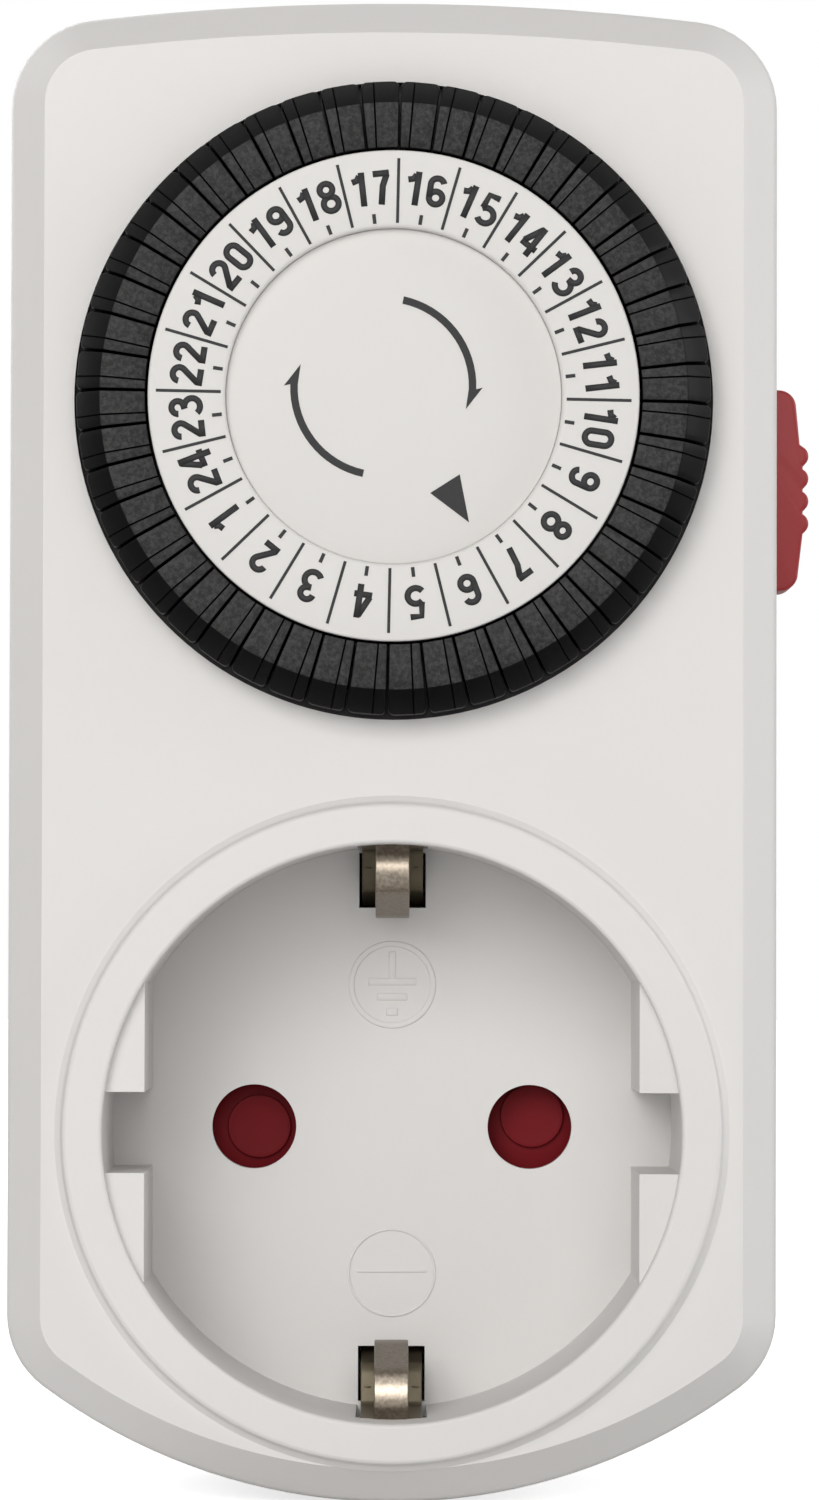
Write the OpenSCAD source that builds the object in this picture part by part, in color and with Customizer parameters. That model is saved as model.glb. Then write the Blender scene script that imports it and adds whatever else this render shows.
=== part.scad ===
// Plug-in mechanical timer switch: a 24 hour dial with tripper segments above a socket,
// an override slide on the right flank and an earthed round plug on the back.
// X runs right, Y runs into the wall and Z runs up. The origin is the centre of the plug's face.

/* [Housing] */
// Width of the housing
housing_w = 51.6; // [51.2:0.1:56]
// Height of the housing above the plug's axis
housing_top = 76; // [75.6:0.1:80]
// Drop of the housing below the plug's axis
housing_drop = 24.8; // [24.6:0.1:28]
// Depth of the housing from its front face to its back face
housing_depth = 36; // [36:0.5:42]
// Depth of the front cover, up to the parting line
front_depth = 26; // [26:0.5:30]
// Radius of the arched top
top_arch_r = 174; // [140:1:260]
// Radius of the bulged bottom
bottom_arch_r = 39.3; // [37:0.1:44]
// Radius of the four corners
corner_r = 6; // [5.8:0.1:6.4]
// Width of the bevel round the front face
bevel_w = 2.4; // [1.5:0.1:2.6]
// Depth of the bevel round the front face
bevel_depth = 3; // [2:0.1:3.4]
// Thickness of the side walls
side_wall = 2.2; // [1.8:0.1:2.3]
// Thickness of the front wall
front_wall = 2; // [1.6:0.1:2.2]
// Thickness of the back wall
back_wall = 2; // [1.6:0.1:2.4]
// Bevel round the back face
back_bevel = 1; // [0.4:0.1:1.6]
// How far the rear cover's lip reaches into the front cover
lip_reach = 1.5; // [1:0.1:2]
// Thickness of the lip
lip_t = 1; // [0.8:0.1:1.2]

/* [Housing screws] */
// Radius of a screw's shank
screw_r = 1.4; // [1.2:0.1:1.5]
// Radius of a screw's head
screw_head_r = 2.6; // [2.2:0.1:2.6]
// Height of a screw's head
screw_head_h = 1.8; // [1.4:0.1:2]
// How deep a head is sunk below the back face
screw_sink = 0.8; // [0.4:0.1:1]
// How far a screw reaches into its front boss
screw_bite = 8; // [5:0.5:9]
// Width of the slot across a head
screw_slot_w = 0.7; // [0.5:0.1:0.9]
// Radius of a front boss
boss_r = 2.9; // [2.6:0.1:3]
// Radius of a rear boss round a sunk head
rear_boss_r = 3.9; // [3.6:0.1:4.1]
// Radius of the long rear boss that clamps the mechanism plate
clamp_boss_r = 3.1; // [2.8:0.1:3.2]

/* [Socket] */
// Outer radius of the raised rim round the socket
rim_r = 22; // [21.5:0.1:22.2]
// Height of the rim above the front face
rim_rise = 1.1; // [0.6:0.1:1.4]
// Radius of the fillet's foot, beyond the rim
rim_foot = 0.5; // [0.3:0.1:0.8]
// Radius of the socket recess
well_r = 19.3; // [19.2:0.1:19.6]
// Depth of the recess below the rim
well_depth = 17.5; // [17:0.1:18]
// Thickness of the recess's wall behind the front face
well_wall = 1.9; // [1.5:0.1:2]
// Thickness of the recess's floor
floor_t = 2.5; // [2:0.1:2.8]
// Spacing of the two pins
pin_pitch = 19; // [18.8:0.1:19.2]
// Radius of a pin hole
pin_hole_r = 2.9; // [2.7:0.05:3]
// Distance of a key rib's flat from the socket's axis
rib_x = 16.5; // [16.3:0.1:16.8]
// Half of the gap between an upper and a lower rib
rib_gap = 2.7; // [2.5:0.1:3]
// Drop of the ribs' front ends below the rim
rib_setback = 1; // [0.5:0.1:1.5]
// Width of an earth slot in the floor
earth_slot_w = 4.6; // [4.4:0.1:5]
// Distance of an earth slot's inner edge from the axis
earth_slot_in = 15.1; // [14.8:0.1:15.2]

/* [Plug] */
// Depth of the plug's body behind the housing
plug_depth = 17; // [16:0.5:19]
// Radius of the plug's body
plug_r = 18.9; // [18.6:0.1:19]
// Thickness of the plug's walls
plug_wall = 2; // [1.6:0.1:2.2]
// Thickness of the plug's face
plug_face_t = 2.5; // [2:0.1:3]
// Distance of a side notch's flat from the axis
notch_x = 16.2; // [16:0.1:16.3]
// Half width of the tongue between the notches
tongue_z = 2.4; // [2.2:0.1:2.6]
// Half width over both notches
notch_z = 10.3; // [10.1:0.1:10.6]
// Radius of a plug pin
pin_r = 2.4; // [2.35:0.05:2.45]
// Length of a plug pin outside the face
pin_length = 19; // [18.5:0.1:19.5]
// Step down of a pin inside the face, on the radius
pin_step = 0.3; // [0.2:0.05:0.4]
// Radius of the shallow seat round a pin in the plug's face
pin_seat_r = 3.3; // [3.25:0.05:3.4]
// Depth of that seat
pin_seat_depth = 0.5; // [0.3:0.1:0.8]
// Length of a pin's rounded end
pin_tip = 1.3; // [0.8:0.1:1.6]
// Radius of the flange that keeps a pin in
pin_flange_r = 3.6; // [3.2:0.1:3.8]
// Thickness of that flange
pin_flange_t = 1.4; // [1:0.1:1.6]
// Radius of a pin's riveted stem
pin_stem_r = 1.8; // [1.5:0.1:2]
// Thickness of the insulating plate behind the flanges
insert_t = 2; // [1.6:0.1:2.4]
// Width of the groove that holds a side earth contact
earth_groove_w = 5.2; // [4.8:0.1:5.6]
// Distance of that groove's floor from the axis
earth_groove_z = 15.3; // [15:0.1:15.5]

/* [Dial] */
// Gap between the socket rim's foot and the opening round the dial
dial_rim_gap = 5.05; // [4.9:0.05:5.2]
// Gap between the opening and the housing's top
dial_top_gap = 5.75; // [5.6:0.05:5.9]
// Gap between the opening and the inside of the side walls
dial_side_gap = 2.25; // [2.1:0.05:2.3]
// Height of the dial's front above the front face
dial_rise = 4.4; // [3.8:0.1:4.8]
// Width of the number ring
number_ring_w = 4.8; // [4.5:0.1:4.9]
// Thickness of the number ring
number_ring_t = 1; // [0.8:0.1:1.2]
// Gap between the number ring and the fixed centre disc
centre_disc_gap = 0.3; // [0.2:0.05:0.6]
// Thickness of the centre disc
centre_disc_t = 1.2; // [0.9:0.1:1.3]
// Drop of the centre disc below the number ring
centre_disc_drop = 0.8; // [0.5:0.1:1]
// Radius of the fixed post
post_r = 3; // [2.6:0.1:3.2]
// Radius of the centre disc's stem in the post
stem_r = 1.45; // [1.2:0.05:1.5]
// Length of that stem
stem_length = 5; // [3:0.5:8]
// Outer radius of the carrier's hub
hub_r = 4.6; // [4.3:0.1:4.9]
// How far the carrier's web reaches behind the opening's edge
web_lap = 0.95; // [0.75:0.05:1.2]
// Thickness of the carrier's web
web_t = 2; // [1.6:0.1:2.2]
// Gap between the front wall and the carrier's web
web_gap = 0.6; // [0.4:0.1:0.7]
// Thickness of the carrier's sleeve
sleeve_t = 1.8; // [1.4:0.1:2.2]

/* [Trippers] */
// Trippers in the dial, two to the hour
tripper_count = 48;
// Gap between the heads and the opening
head_fit = 0.25; // [0.2:0.05:0.35]
// Width of a tripper's head, from the dial's axis outwards
head_w = 4.5; // [4.2:0.1:4.6]
// Gap between the heads and the number ring
head_ring_gap = 0.4; // [0.3:0.05:0.6]
// Width of the chamfer at the head's outer edge
head_chamfer_w = 1.6; // [1.2:0.1:2]
// Drop of the chamfer at the head's outer edge
head_chamfer = 1.9; // [1.5:0.1:2.1]
// Height of a tripper's head
head_h = 4.7; // [4.4:0.1:4.8]
// Gap between two heads
head_gap = 0.25; // [0.15:0.05:0.35]
// Distance of a stem's inner side from the head's outer edge
stem_set = 3.5; // [3.3:0.1:3.7]
// Radial width of a tripper's stem
stem_w = 2.1; // [1.8:0.1:2.2]
// Width of a stem along the rim
stem_b = 1.2; // [1:0.1:1.3]
// How far a tripper is pressed in
tripper_travel = 1.9; // [1.5:0.1:2]
// How far a stem stands out behind the web at rest
stem_proud = 0.8; // [0.6:0.1:0.9]
// Turn of the dial from a full hour at the top, clockwise
dial_phase = 1.1; // [0:0.1:2]

/* [Gears] */
// Distance of the dial gear's pitch circle from the opening
gear_set = 6.95; // [6.9:0.05:7.6]
// Teeth on the dial's gear
dial_teeth = 48;
// Teeth on the idler's small pinion
idler_pinion_teeth = 10;
// Teeth on the idler's wheel
idler_wheel_teeth = 22;
// Teeth on the motor's pinion
motor_teeth = 10;
// Pressure angle of the teeth
pressure_angle = 25; // [24:0.5:26]
// Play between a tooth and its gap
backlash = 0.1; // [0.06:0.01:0.14]
// Width of the dial's gear and of the idler's pinion
dial_gear_w = 2.5; // [2:0.1:2.6]
// Width of the idler's wheel and of the motor's pinion
wheel_w = 1.8; // [1.4:0.1:1.9]
// Direction of the idler from the dial's axis, counter-clockwise from the right
idler_angle = 135; // [130:1:140]
// Radius of the idler's axle
axle_r = 1; // [0.8:0.05:1.1]

/* [Mechanism] */
// Thickness of the mechanism plate
plate_t = 2; // [1.6:0.1:2.2]
// Height of the plate's lower edge
plate_low_z = 32; // [31.8:0.1:33]
// Drop of the ear's screw below the plate's lower edge
ear_drop = 1; // [0.6:0.1:1.2]
// Distance of the ear's screw from the side wall's inside
ear_set = 3.1; // [3:0.1:3.4]
// Radius of the ear
ear_r = 2.7; // [2.4:0.1:2.8]
// Radius of the motor's can
can_r = 16.8; // [15:0.1:17]
// Depth of the motor's can
can_depth = 12; // [9:0.5:13]
// Thickness of the motor's front plate
end_plate_t = 1; // [0.8:0.1:1.2]
// Radius of the motor's output shaft
shaft_r = 0.8; // [0.6:0.1:1]
// Radius of the motor's two screws
motor_screw_r = 1; // [0.8:0.1:1.1]

/* [Switch] */
// Distance of the follower's pivot left of the middle
pivot_x = 12; // [11:0.1:13]
// Radius of the follower's pivot pin
pivot_r = 0.8; // [0.6:0.1:0.9]
// Height of the follower's lower edge
lever_z = 24.5; // [24.4:0.1:24.8]
// Height of the follower's bar
lever_h = 3.2; // [2.8:0.1:3.3]
// Thickness of the follower's bar
lever_t = 2; // [1.6:0.1:2.2]
// Width of the follower's nose
nose_w = 0.7; // [0.5:0.05:0.8]
// Distance of the follower's finger right of the middle
finger_x = 13; // [12:0.1:13.5]
// Width of the follower's finger
finger_w = 2; // [1.6:0.1:2.2]
// Thickness of the moving contact's blade
blade_t = 0.4; // [0.3:0.05:0.5]
// Distance of the contact rivets right of the middle
rivet_x = 15.2; // [14.8:0.1:15.4]
// Radius of a contact rivet
rivet_r = 1.5; // [1.2:0.1:1.6]
// Gap between the open contacts
contact_gap = 3.3; // [3.2:0.05:3.5]

/* [Override slide] */
// Length of the knob
knob_length = 14; // [12:0.1:14.5]
// Height of the knob's middle
knob_z = 44.15; // [43.6:0.05:44.6]
// Depth of the knob
knob_depth = 6; // [5:0.1:6.4]
// How far the knob's smooth end stands out of the side wall
knob_rise = 2.3; // [1.8:0.1:2.5]
// How far the tops of its teeth stand out
tooth_rise = 3.05; // [2.6:0.05:3.1]
// Number of teeth on the knob
knob_teeth = 4; // [3:1:5]
// Spacing of the knob's teeth
tooth_pitch = 1.56; // [1.3:0.02:1.6]
// Travel of the slide
slide_travel = 4; // [3:0.1:4]
// Thickness of the slide's plate inside the wall
slide_t = 2.1; // [1.8:0.1:2.2]
// Width of the slide's plate, front to back
slide_w = 8; // [7.6:0.1:8]
// Gap between the mechanism plate and the slide
slide_gap = 1.1; // [1:0.1:1.2]

/* [Contacts] */
// Thickness of the contact strips
strip_t = 0.6; // [0.5:0.05:0.6]
// Width of the leaves that grip a pin
leaf_w = 5.2; // [4.6:0.1:5.4]
// Length of the leaves
leaf_length = 7.5; // [6:0.5:9]
// Width of the earth fingers in the socket
finger_earth_w = 2.4; // [2:0.1:3]
// Distance of an earth finger's grip from the axis
finger_grip_z = 14.5; // [14.2:0.1:14.9]
// Thickness of the contact carrier
carrier_t = 2.4; // [2:0.1:2.6]
// Radius of the contact carrier
carrier_r = 17.4; // [17:0.1:17.8]
// Thickness of the shutter
shutter_t = 1.4; // [1.2:0.1:1.5]
// Radius of a shutter lobe
shutter_lobe_r = 3.5; // [3.2:0.1:3.8]
// Height of a shutter's boss in front of its lobe
shutter_boss_h = 0.35; // [0.2:0.05:0.4]
// Radius of the shutter's pivot
shutter_pivot_r = 1.5; // [1.3:0.1:1.6]
// Radius of the wires of the springs
spring_wire_r = 0.25; // [0.2:0.05:0.28]
// Radius of the motor's leads
lead_r = 0.6; // [0.4:0.05:0.7]

/* [Clearances] */
// Running fit between a shaft and its bore, on the radius
run_fit = 0.05; // [0.04:0.01:0.08]
// Gap of a sliding or loose piece
slip = 0.1; // [0.08:0.01:0.12]

/* [Hidden] */
$fn = 64;
eps = 0.01;
FIXED_NODES = ["front_cover", "rear_cover", "housing_screws", "mechanism_plate",
    "plate_screw", "dial_carrier", "number_ring", "centre_disc", "idler_gear",
    "idler_axle", "motor_can", "motor_end_plate", "motor_pinion", "motor_screws",
    "motor_lead_live", "motor_lead_neutral", "follower_lever", "lever_pin",
    "lever_spring", "moving_contact", "fixed_contact", "override_slide",
    "slide_spring", "shutter", "shutter_spring", "contact_carrier",
    "live_socket_contact", "neutral_socket_contact", "earth_fingers",
    "plug_earth_contacts", "live_pin", "neutral_pin", "plug_insert"];
hours = [1 : 24];
function two_digits(n) = str(n < 10 ? "0" : "", n);
function tripper_name(hour) = str("tripper_hour_", two_digits(hour));

// Stations along Y, from the wall to the front.
gear_gap = 0.7;
wheel_gap = 0.5;
y_back = -plug_depth;
y_in_back = y_back - back_wall;
y_face = y_back - housing_depth;
y_in_front = y_face + front_wall;
y_part = y_face + front_depth;
y_rim = y_face - rim_rise;
y_floor = y_rim + well_depth;
y_floor_back = y_floor + floor_t;
y_dial = y_face - dial_rise;
y_disc = y_dial + centre_disc_drop;
y_disc_back = y_disc + centre_disc_t;
y_web = y_in_front + web_gap;
y_web_back = y_web + web_t;
y_head_back = y_dial + head_h;
y_stem_end = y_web_back + stem_proud;
y_pressed = y_stem_end + tripper_travel;
y_gear = y_pressed + gear_gap;
y_gear_back = y_gear + dial_gear_w;
y_wheel = y_gear_back + 2 * slip;
y_wheel_back = y_wheel + wheel_w;
y_plate = y_wheel_back + wheel_gap;
y_plate_back = y_plate + plate_t;
y_can = y_plate_back + end_plate_t;
y_can_back = y_can + can_depth;
y_head = y_back - screw_sink - screw_head_h;

// The outline of the housing: the centres of its arches and corners.
half_w = housing_w / 2;
in_x = half_w - side_wall;
corner_x = half_w - corner_r;
top_centre_z = housing_top - top_arch_r;
low_centre_z = bottom_arch_r - housing_drop;
corner_top_z = top_centre_z + sqrt(pow(top_arch_r - corner_r, 2) - pow(corner_x, 2));
slice_lap = corner_r / 4;
corner_low_z = low_centre_z - sqrt(pow(bottom_arch_r - corner_r, 2) - pow(corner_x, 2));

// The dial fills the face between the socket's rim, the top and the side walls.
dial_low_z = rim_r + rim_foot + dial_rim_gap;
dial_high_z = housing_top - dial_top_gap;
dial_z = (dial_low_z + dial_high_z) / 2;
dial_hole_r = min((dial_high_z - dial_low_z) / 2, in_x - dial_side_gap);
web_r = dial_hole_r + web_lap;
gear_shoulder = 1.6;
head_out = dial_hole_r - head_fit;
head_flat_r = head_out - head_chamfer_w;
head_in = head_out - head_w;
stem_in = head_out - stem_set;
number_ring_r = head_in - head_ring_gap;
number_ring_in = number_ring_r - number_ring_w;
centre_disc_r = number_ring_in - centre_disc_gap;

// Gear centres. The motor's two screws stand below and beside its middle.
motor_screw_x = 11;
motor_screw_drop = 9;
small_head_r = motor_screw_r + 0.8;
small_head_h = 1;
small_slot_w = 0.5;
small_slot_h = 0.4;
small_screw_bite = 5;
motor_screw_depth = 2;
can_edge = 1;
shaft_reach = 2;
collar_w = 0.5;
gear_module = 2 * (dial_hole_r - gear_set) / dial_teeth;
dial_pitch_r = dial_teeth * gear_module / 2;
idler_pinion_r = idler_pinion_teeth * gear_module / 2;
idler_wheel_r = idler_wheel_teeth * gear_module / 2;
motor_pinion_r = motor_teeth * gear_module / 2;
idler_x = (dial_pitch_r + idler_pinion_r) * cos(idler_angle);
idler_z = dial_z + (dial_pitch_r + idler_pinion_r) * sin(idler_angle);
motor_x = idler_x + idler_wheel_r + motor_pinion_r;
motor_z = idler_z;
addendum = 0.9 * gear_module;
dedendum = 1.25 * gear_module;

pin_x = pin_pitch / 2;
half_hour = 360 / tripper_count;
stem_mid = stem_in + stem_w / 2;
// A gap between two stems lies at the dial's bottom, and the follower's nose stands in it.
gap_turn = 180 + dial_phase;
nose_x = stem_mid * sin(gap_turn);
nose_z = dial_z + stem_mid * cos(gap_turn);
lever_top_z = lever_z + lever_h;
y_nose = y_stem_end + 0.3;
y_lever_back = y_nose + 0.7 + lever_t;
y_pivot = y_lever_back - lever_t / 2;
lug_t = 0.9;
lug_half = 2;
lug_low_z = 20.6;
pivot_boss_r = 1.9;
pin_clamp = 0.4;
spring_turns = 4;
spring_leg_front = 3;
spring_leg_back = 2.4;
tab_reach = 1.2;
blade_rise = 0.6;

// The switch, behind the follower's finger.
y_tab_back = y_plate_back + 2.8;
y_blade = y_tab_back + 2 * slip;
y_blade_back = y_blade + blade_t;
rivet_h = 0.6;
y_fixed_rivet = y_blade_back + rivet_h + contact_gap;
blade_root_x = -1;
blade_root_r = 0.6;
blade_end_x = rivet_x + rivet_r;
post_gap = 0.1;

// Where the motor's leads leave its can.
lead_exit_x = 8;
lead_exit_z = dial_z - sqrt(pow(can_r, 2) - pow(lead_exit_x, 2)) - lead_r;
y_lead = y_can_back - 3;
// Where they turn down below the mechanism plate: the points [x, back from the can, z].
live_turns = [[12, 1.5, plate_low_z - 1], [13.5, 2, plate_low_z - 2.5]];
neutral_turns = [[-13, 1, plate_low_z - 2], [-14, 1.4, plate_low_z - 4]];
// The solder spots they end at, on the fixed contact and on the neutral strap.
live_spot_z = lever_z - 2.5;
neutral_spot_z = 3;

// The contacts, behind the socket's floor.
y_shutter = y_floor_back + shutter_boss_h + slip;
y_shutter_back = y_shutter + shutter_t;
y_carrier = y_shutter_back + 0.8;
y_carrier_back = y_carrier + carrier_t;
y_strip_back = y_carrier_back + strip_t;
strap_x = pin_x + 3.7;
strap_half = 1.6;
leaf_z = pin_r + 0.15;
peg_r = 1.5;
peg_x = 14;
peg_z = 8;
clip_half_x = 3;
clip_half_z = 4;
riser_w = 2.4;
shutter_boss_r = pin_hole_r - 0.7;
shutter_bar_half = 2.2;
earth_half = 2;
finger_tip_set = 6;
finger_bend = 5;
finger_lift = 2;
plug_earth_end = 3;

// The pins' inner stations.
y_flange = -plug_face_t;
y_insert = y_flange - pin_flange_t;
y_strap_back = y_insert - insert_t;
y_strap = y_strap_back - strip_t;
y_stem_head = y_strap - 1;

// The plate's ear.
ear_x = in_x - ear_set;
ear_z = plate_low_z - ear_drop;
ear_web_half = 2;

// The override slide.
slide_y0 = y_plate_back + slide_gap;
slide_y1 = slide_y0 + slide_w;
knob_y0 = (slide_y0 + slide_y1) / 2 - knob_depth / 2;
knob_y1 = knob_y0 + knob_depth;
knob_low_z = knob_z - knob_length / 2;
knob_high_z = knob_z + knob_length / 2;
slide_x0 = in_x - slip - slide_t;
slide_x1 = in_x - slip;
slide_low_z = knob_low_z - slide_travel - 1;
slide_high_z = knob_high_z + slide_travel + 1;
rail_t = 0.8;
rail_low_z = 35;
rail_high_z = 53;
arm_x = slide_x0 - 3;
arm_t = 1.4;
arm_y0 = slide_y0 - 0.9;
arm_z = lever_top_z + 0.7;
arm_h = 4.6;
arm_step = 2;
tooth_r = 0.55;
slot_gap = 0.3;
spring_leaf_t = 0.3;

// ---- Shapes along Y ----

// A flat shape in X and Z, carried from y0 back to y1.
module along_y(y0, y1) {
    translate([0, y1, 0]) rotate([90, 0, 0]) linear_extrude(y1 - y0) children();
}

module rod_y(r, y0, y1, x = 0, z = 0) {
    translate([x, y1, z]) rotate([90, 0, 0]) cylinder(r = r, h = y1 - y0);
}

// A cone with radius r0 at its front y0 and r1 at its back y1.
module cone_y(r0, r1, y0, y1, x = 0, z = 0) {
    translate([x, y1, z]) rotate([90, 0, 0]) cylinder(r1 = r1, r2 = r0, h = y1 - y0);
}

// A block between two corners.
module block(x0, x1, y0, y1, z0, z1) {
    translate([x0, y0, z0]) cube([x1 - x0, y1 - y0, z1 - z0]);
}

// A profile of [radius, y] points, turned about an axis along Y.
module turned_y(profile, x = 0, z = 0, start = 0, angle = 360) {
    translate([x, 0, z]) rotate([90, 0, 0]) rotate([0, 0, start])
        rotate_extrude(angle = angle) polygon([for (p = profile) [p[0], -p[1]]]);
}

function spot(r, a) = [r * cos(a), r * sin(a)];

// One slice of the housing: inset i0 from the outline at y0, and i1 at y1.
module body_slice(y0, y1, i0, i1) {
    intersection() {
        along_y(y0, y1) polygon([[-half_w, corner_low_z], [half_w, corner_low_z],
            [half_w, corner_top_z], [-half_w, corner_top_z]]);
        translate([0, 0, -housing_drop]) linear_extrude(housing_drop + housing_top)
            polygon([[i0 - half_w, y0], [half_w - i0, y0], [half_w - i1, y1],
                [i1 - half_w, y1]]);
    }
    end_slice(y0, y1, i0, i1, top_arch_r, top_centre_z, corner_top_z, 0.2);
    end_slice(y0, y1, i0, i1, bottom_arch_r, low_centre_z, corner_low_z, 0.8);
    // A core that laps the middle, the arches and the corners.
    block(-corner_x - slice_lap, corner_x + slice_lap, y0, y1,
        corner_low_z - slice_lap, corner_top_z + slice_lap);
}

// One end of a slice: the arch between its corners' centres, and the two rounded corners.
// An arch meets a corner on the line from the arch's centre through the corner's, up to outer.
module end_slice(y0, y1, i0, i1, arch_r, centre_z, corner_z, reach) {
    outer = [corner_x * (1 + reach), corner_z + (corner_z - centre_z) * reach];
    far_x = max(outer[0], corner_x + 2 * corner_r) + 1;
    intersection() {
        cone_y(arch_r - i0, arch_r - i1, y0, y1, 0, centre_z);
        along_y(y0, y1) polygon([[-corner_x, corner_z], [corner_x, corner_z], outer,
            [-outer[0], outer[1]]]);
    }
    for (side = [0, 1]) mirror([side, 0, 0]) intersection() {
        cone_y(corner_r - i0, corner_r - i1, y0, y1, corner_x, corner_z);
        along_y(y0, y1) polygon([[corner_x, corner_z], [far_x, corner_z],
            [far_x, outer[1]], outer]);
    }
}

// ---- Wires ----

function unit(v) = v / norm(v);
function tangent(p, i) = unit(p[min(i + 1, len(p) - 1)] - p[max(i - 1, 0)]);

// A round wire through the points; up is a direction that the wire never runs along.
module wire(points, r, up, sides = 8) {
    last = len(points) - 1;
    rings = [for (i = [0 : last])
        let (t = tangent(points, i), u = unit(cross(up, t)), v = cross(t, u))
        for (k = [0 : sides - 1])
            points[i] + r * (cos(360 * k / sides) * u + sin(360 * k / sides) * v)];
    walls = [for (i = [0 : last - 1], k = [0 : sides - 1])
        let (next = (k + 1) % sides)
        [i * sides + k, (i + 1) * sides + k, (i + 1) * sides + next, i * sides + next]];
    caps = [[for (k = [0 : sides - 1]) k],
        [for (k = [0 : sides - 1]) last * sides + sides - 1 - k]];
    polyhedron(points = rings, faces = concat(walls, caps), convexity = 6);
}

// Points along a straight line from a to b.
function line_points(a, b, n) = [for (i = [0 : n]) a + (b - a) * i / n];

// ---- Gears ----

function involute(a) = tan(a) * 180 / PI - a;
function pressure_at(r, base) = acos(min(1, base / r));
function flank_half(r, pitch_r, teeth, base) =
    90 / teeth - backlash / 4 / pitch_r * 180 / PI
    + involute(pressure_angle) - involute(pressure_at(r, base));

// Outline of a spur gear with a tooth centred on angle 0.
function gear_outline(teeth) =
    let (pitch_r = teeth * gear_module / 2, base = pitch_r * cos(pressure_angle),
        tip = pitch_r + addendum, root = pitch_r - dedendum, first = max(base, root),
        radii = [root, first + eps, (2 * first + tip) / 3, (first + 2 * tip) / 3, tip])
    [for (i = [0 : teeth - 1], side = [-1, 1], k = [0 : len(radii) - 1])
        let (r = side < 0 ? radii[k] : radii[len(radii) - 1 - k])
        spot(r, 360 * i / teeth + side * flank_half(max(r, first), pitch_r, teeth, base))];

module gear(teeth, y0, y1, x, z, turn) {
    along_y(y0, y1) translate([x, z]) rotate(turn) polygon(gear_outline(teeth));
}

// ---- Housing ----

// The socket's key ribs, seen from the front.
module rib_shapes(reach) {
    for (sx = [-1, 1], sz = [-1, 1]) scale([sx, sz])
        translate([rib_x, rib_gap]) square([reach - rib_x, well_r / 2]);
}

module screw_places() {
    for (x = [-corner_x, corner_x], z = [corner_low_z, corner_top_z])
        translate([x, 0, z]) children();
}

module at_ear() {
    translate([-ear_x, 0, ear_z]) children();
}

module peg_places() {
    for (x = [-peg_x, peg_x], z = [-peg_z, peg_z]) translate([x, 0, z]) children();
}

module front_shell() {
    difference() {
        union() {
            body_slice(y_face, y_face + bevel_depth, bevel_w, 0);
            body_slice(y_face + bevel_depth, y_part, 0, 0);
        }
        body_slice(y_in_front, y_part + 1, side_wall, side_wall);
    }
}

// The slide's guide on the side wall: a rail along its front edge, with a lip.
module slide_rail() {
    y0 = slide_y0 - slip - rail_t;
    block(slide_x0 - slip - rail_t, in_x + 1, y0, y0 + rail_t, rail_low_z, rail_high_z);
    block(slide_x0 - slip - rail_t, slide_x0 - slip, y0, y0 + 2 * rail_t,
        rail_low_z, rail_high_z);
}

module lever_lugs() {
    for (z = [lug_low_z - lug_t, lever_top_z + slip])
        block(-pivot_x - lug_half, -pivot_x + lug_half, y_in_front - 1, y_pivot + lug_half,
            z, z + lug_t);
}

module front_cover() {
    color("gainsboro") difference() {
        union() {
            front_shell();
            turned_y([[0, y_rim], [rim_r - 0.3, y_rim], [rim_r, y_rim + 0.3],
                [rim_r, y_face - rim_foot], [rim_r + rim_foot, y_face],
                [rim_r + rim_foot, y_face + 1], [0, y_face + 1]]);
            rod_y(well_r + well_wall, y_face + 0.5, y_floor_back);
            screw_places() rod_y(boss_r, y_in_front - 1, y_plate);
            for (x = [-corner_x, corner_x])
                rod_y(boss_r, y_plate - 1, y_part, x, corner_low_z);
            at_ear() rod_y(ear_r - slip, y_in_front - 1, y_plate);
            peg_places() rod_y(peg_r, y_floor_back - 1, y_carrier);
            slide_rail();
            lever_lugs();
        }
        rod_y(well_r, y_rim - 1, y_rim + rib_setback);
        along_y(y_rim, y_floor) difference() {
            circle(well_r);
            rib_shapes(well_r + 1);
        }
        rod_y(dial_hole_r, y_face - 1, y_in_front + 1, 0, dial_z);
        for (x = [-pin_x, pin_x]) rod_y(pin_hole_r, y_floor - 1, y_floor_back + 1, x);
        for (z = [earth_slot_in, -well_r]) block(-earth_slot_w / 2, earth_slot_w / 2,
            y_floor - 1, y_floor_back + 1, z, z + well_r - earth_slot_in);
        screw_places() rod_y(screw_r + run_fit, y_plate - screw_bite - 1, y_part + 1);
        at_ear() rod_y(motor_screw_r + run_fit, y_plate - small_screw_bite - 1, y_plate + 1);
        block(in_x - 1, half_w + 1, knob_y0 - slip, knob_y1 + slip,
            knob_low_z - slide_travel - slot_gap, knob_high_z + slot_gap);
        translate([-pivot_x, y_pivot, lug_low_z - lug_t + pin_clamp])
            cylinder(r = pivot_r + run_fit, h = lever_top_z - lug_low_z + 2 * lug_t);
    }
}

// The plug's outline: round, with notches for the key ribs and grooves for the earth contacts.
module plug_shape() {
    difference() {
        circle(plug_r);
        for (sx = [-1, 1], sz = [-1, 1]) scale([sx, sz])
            translate([notch_x, tongue_z]) square([plug_r, notch_z - tongue_z]);
        for (sz = [-1, 1]) scale([1, sz])
            translate([-earth_groove_w / 2, earth_groove_z]) square([earth_groove_w, plug_r]);
    }
}

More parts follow.
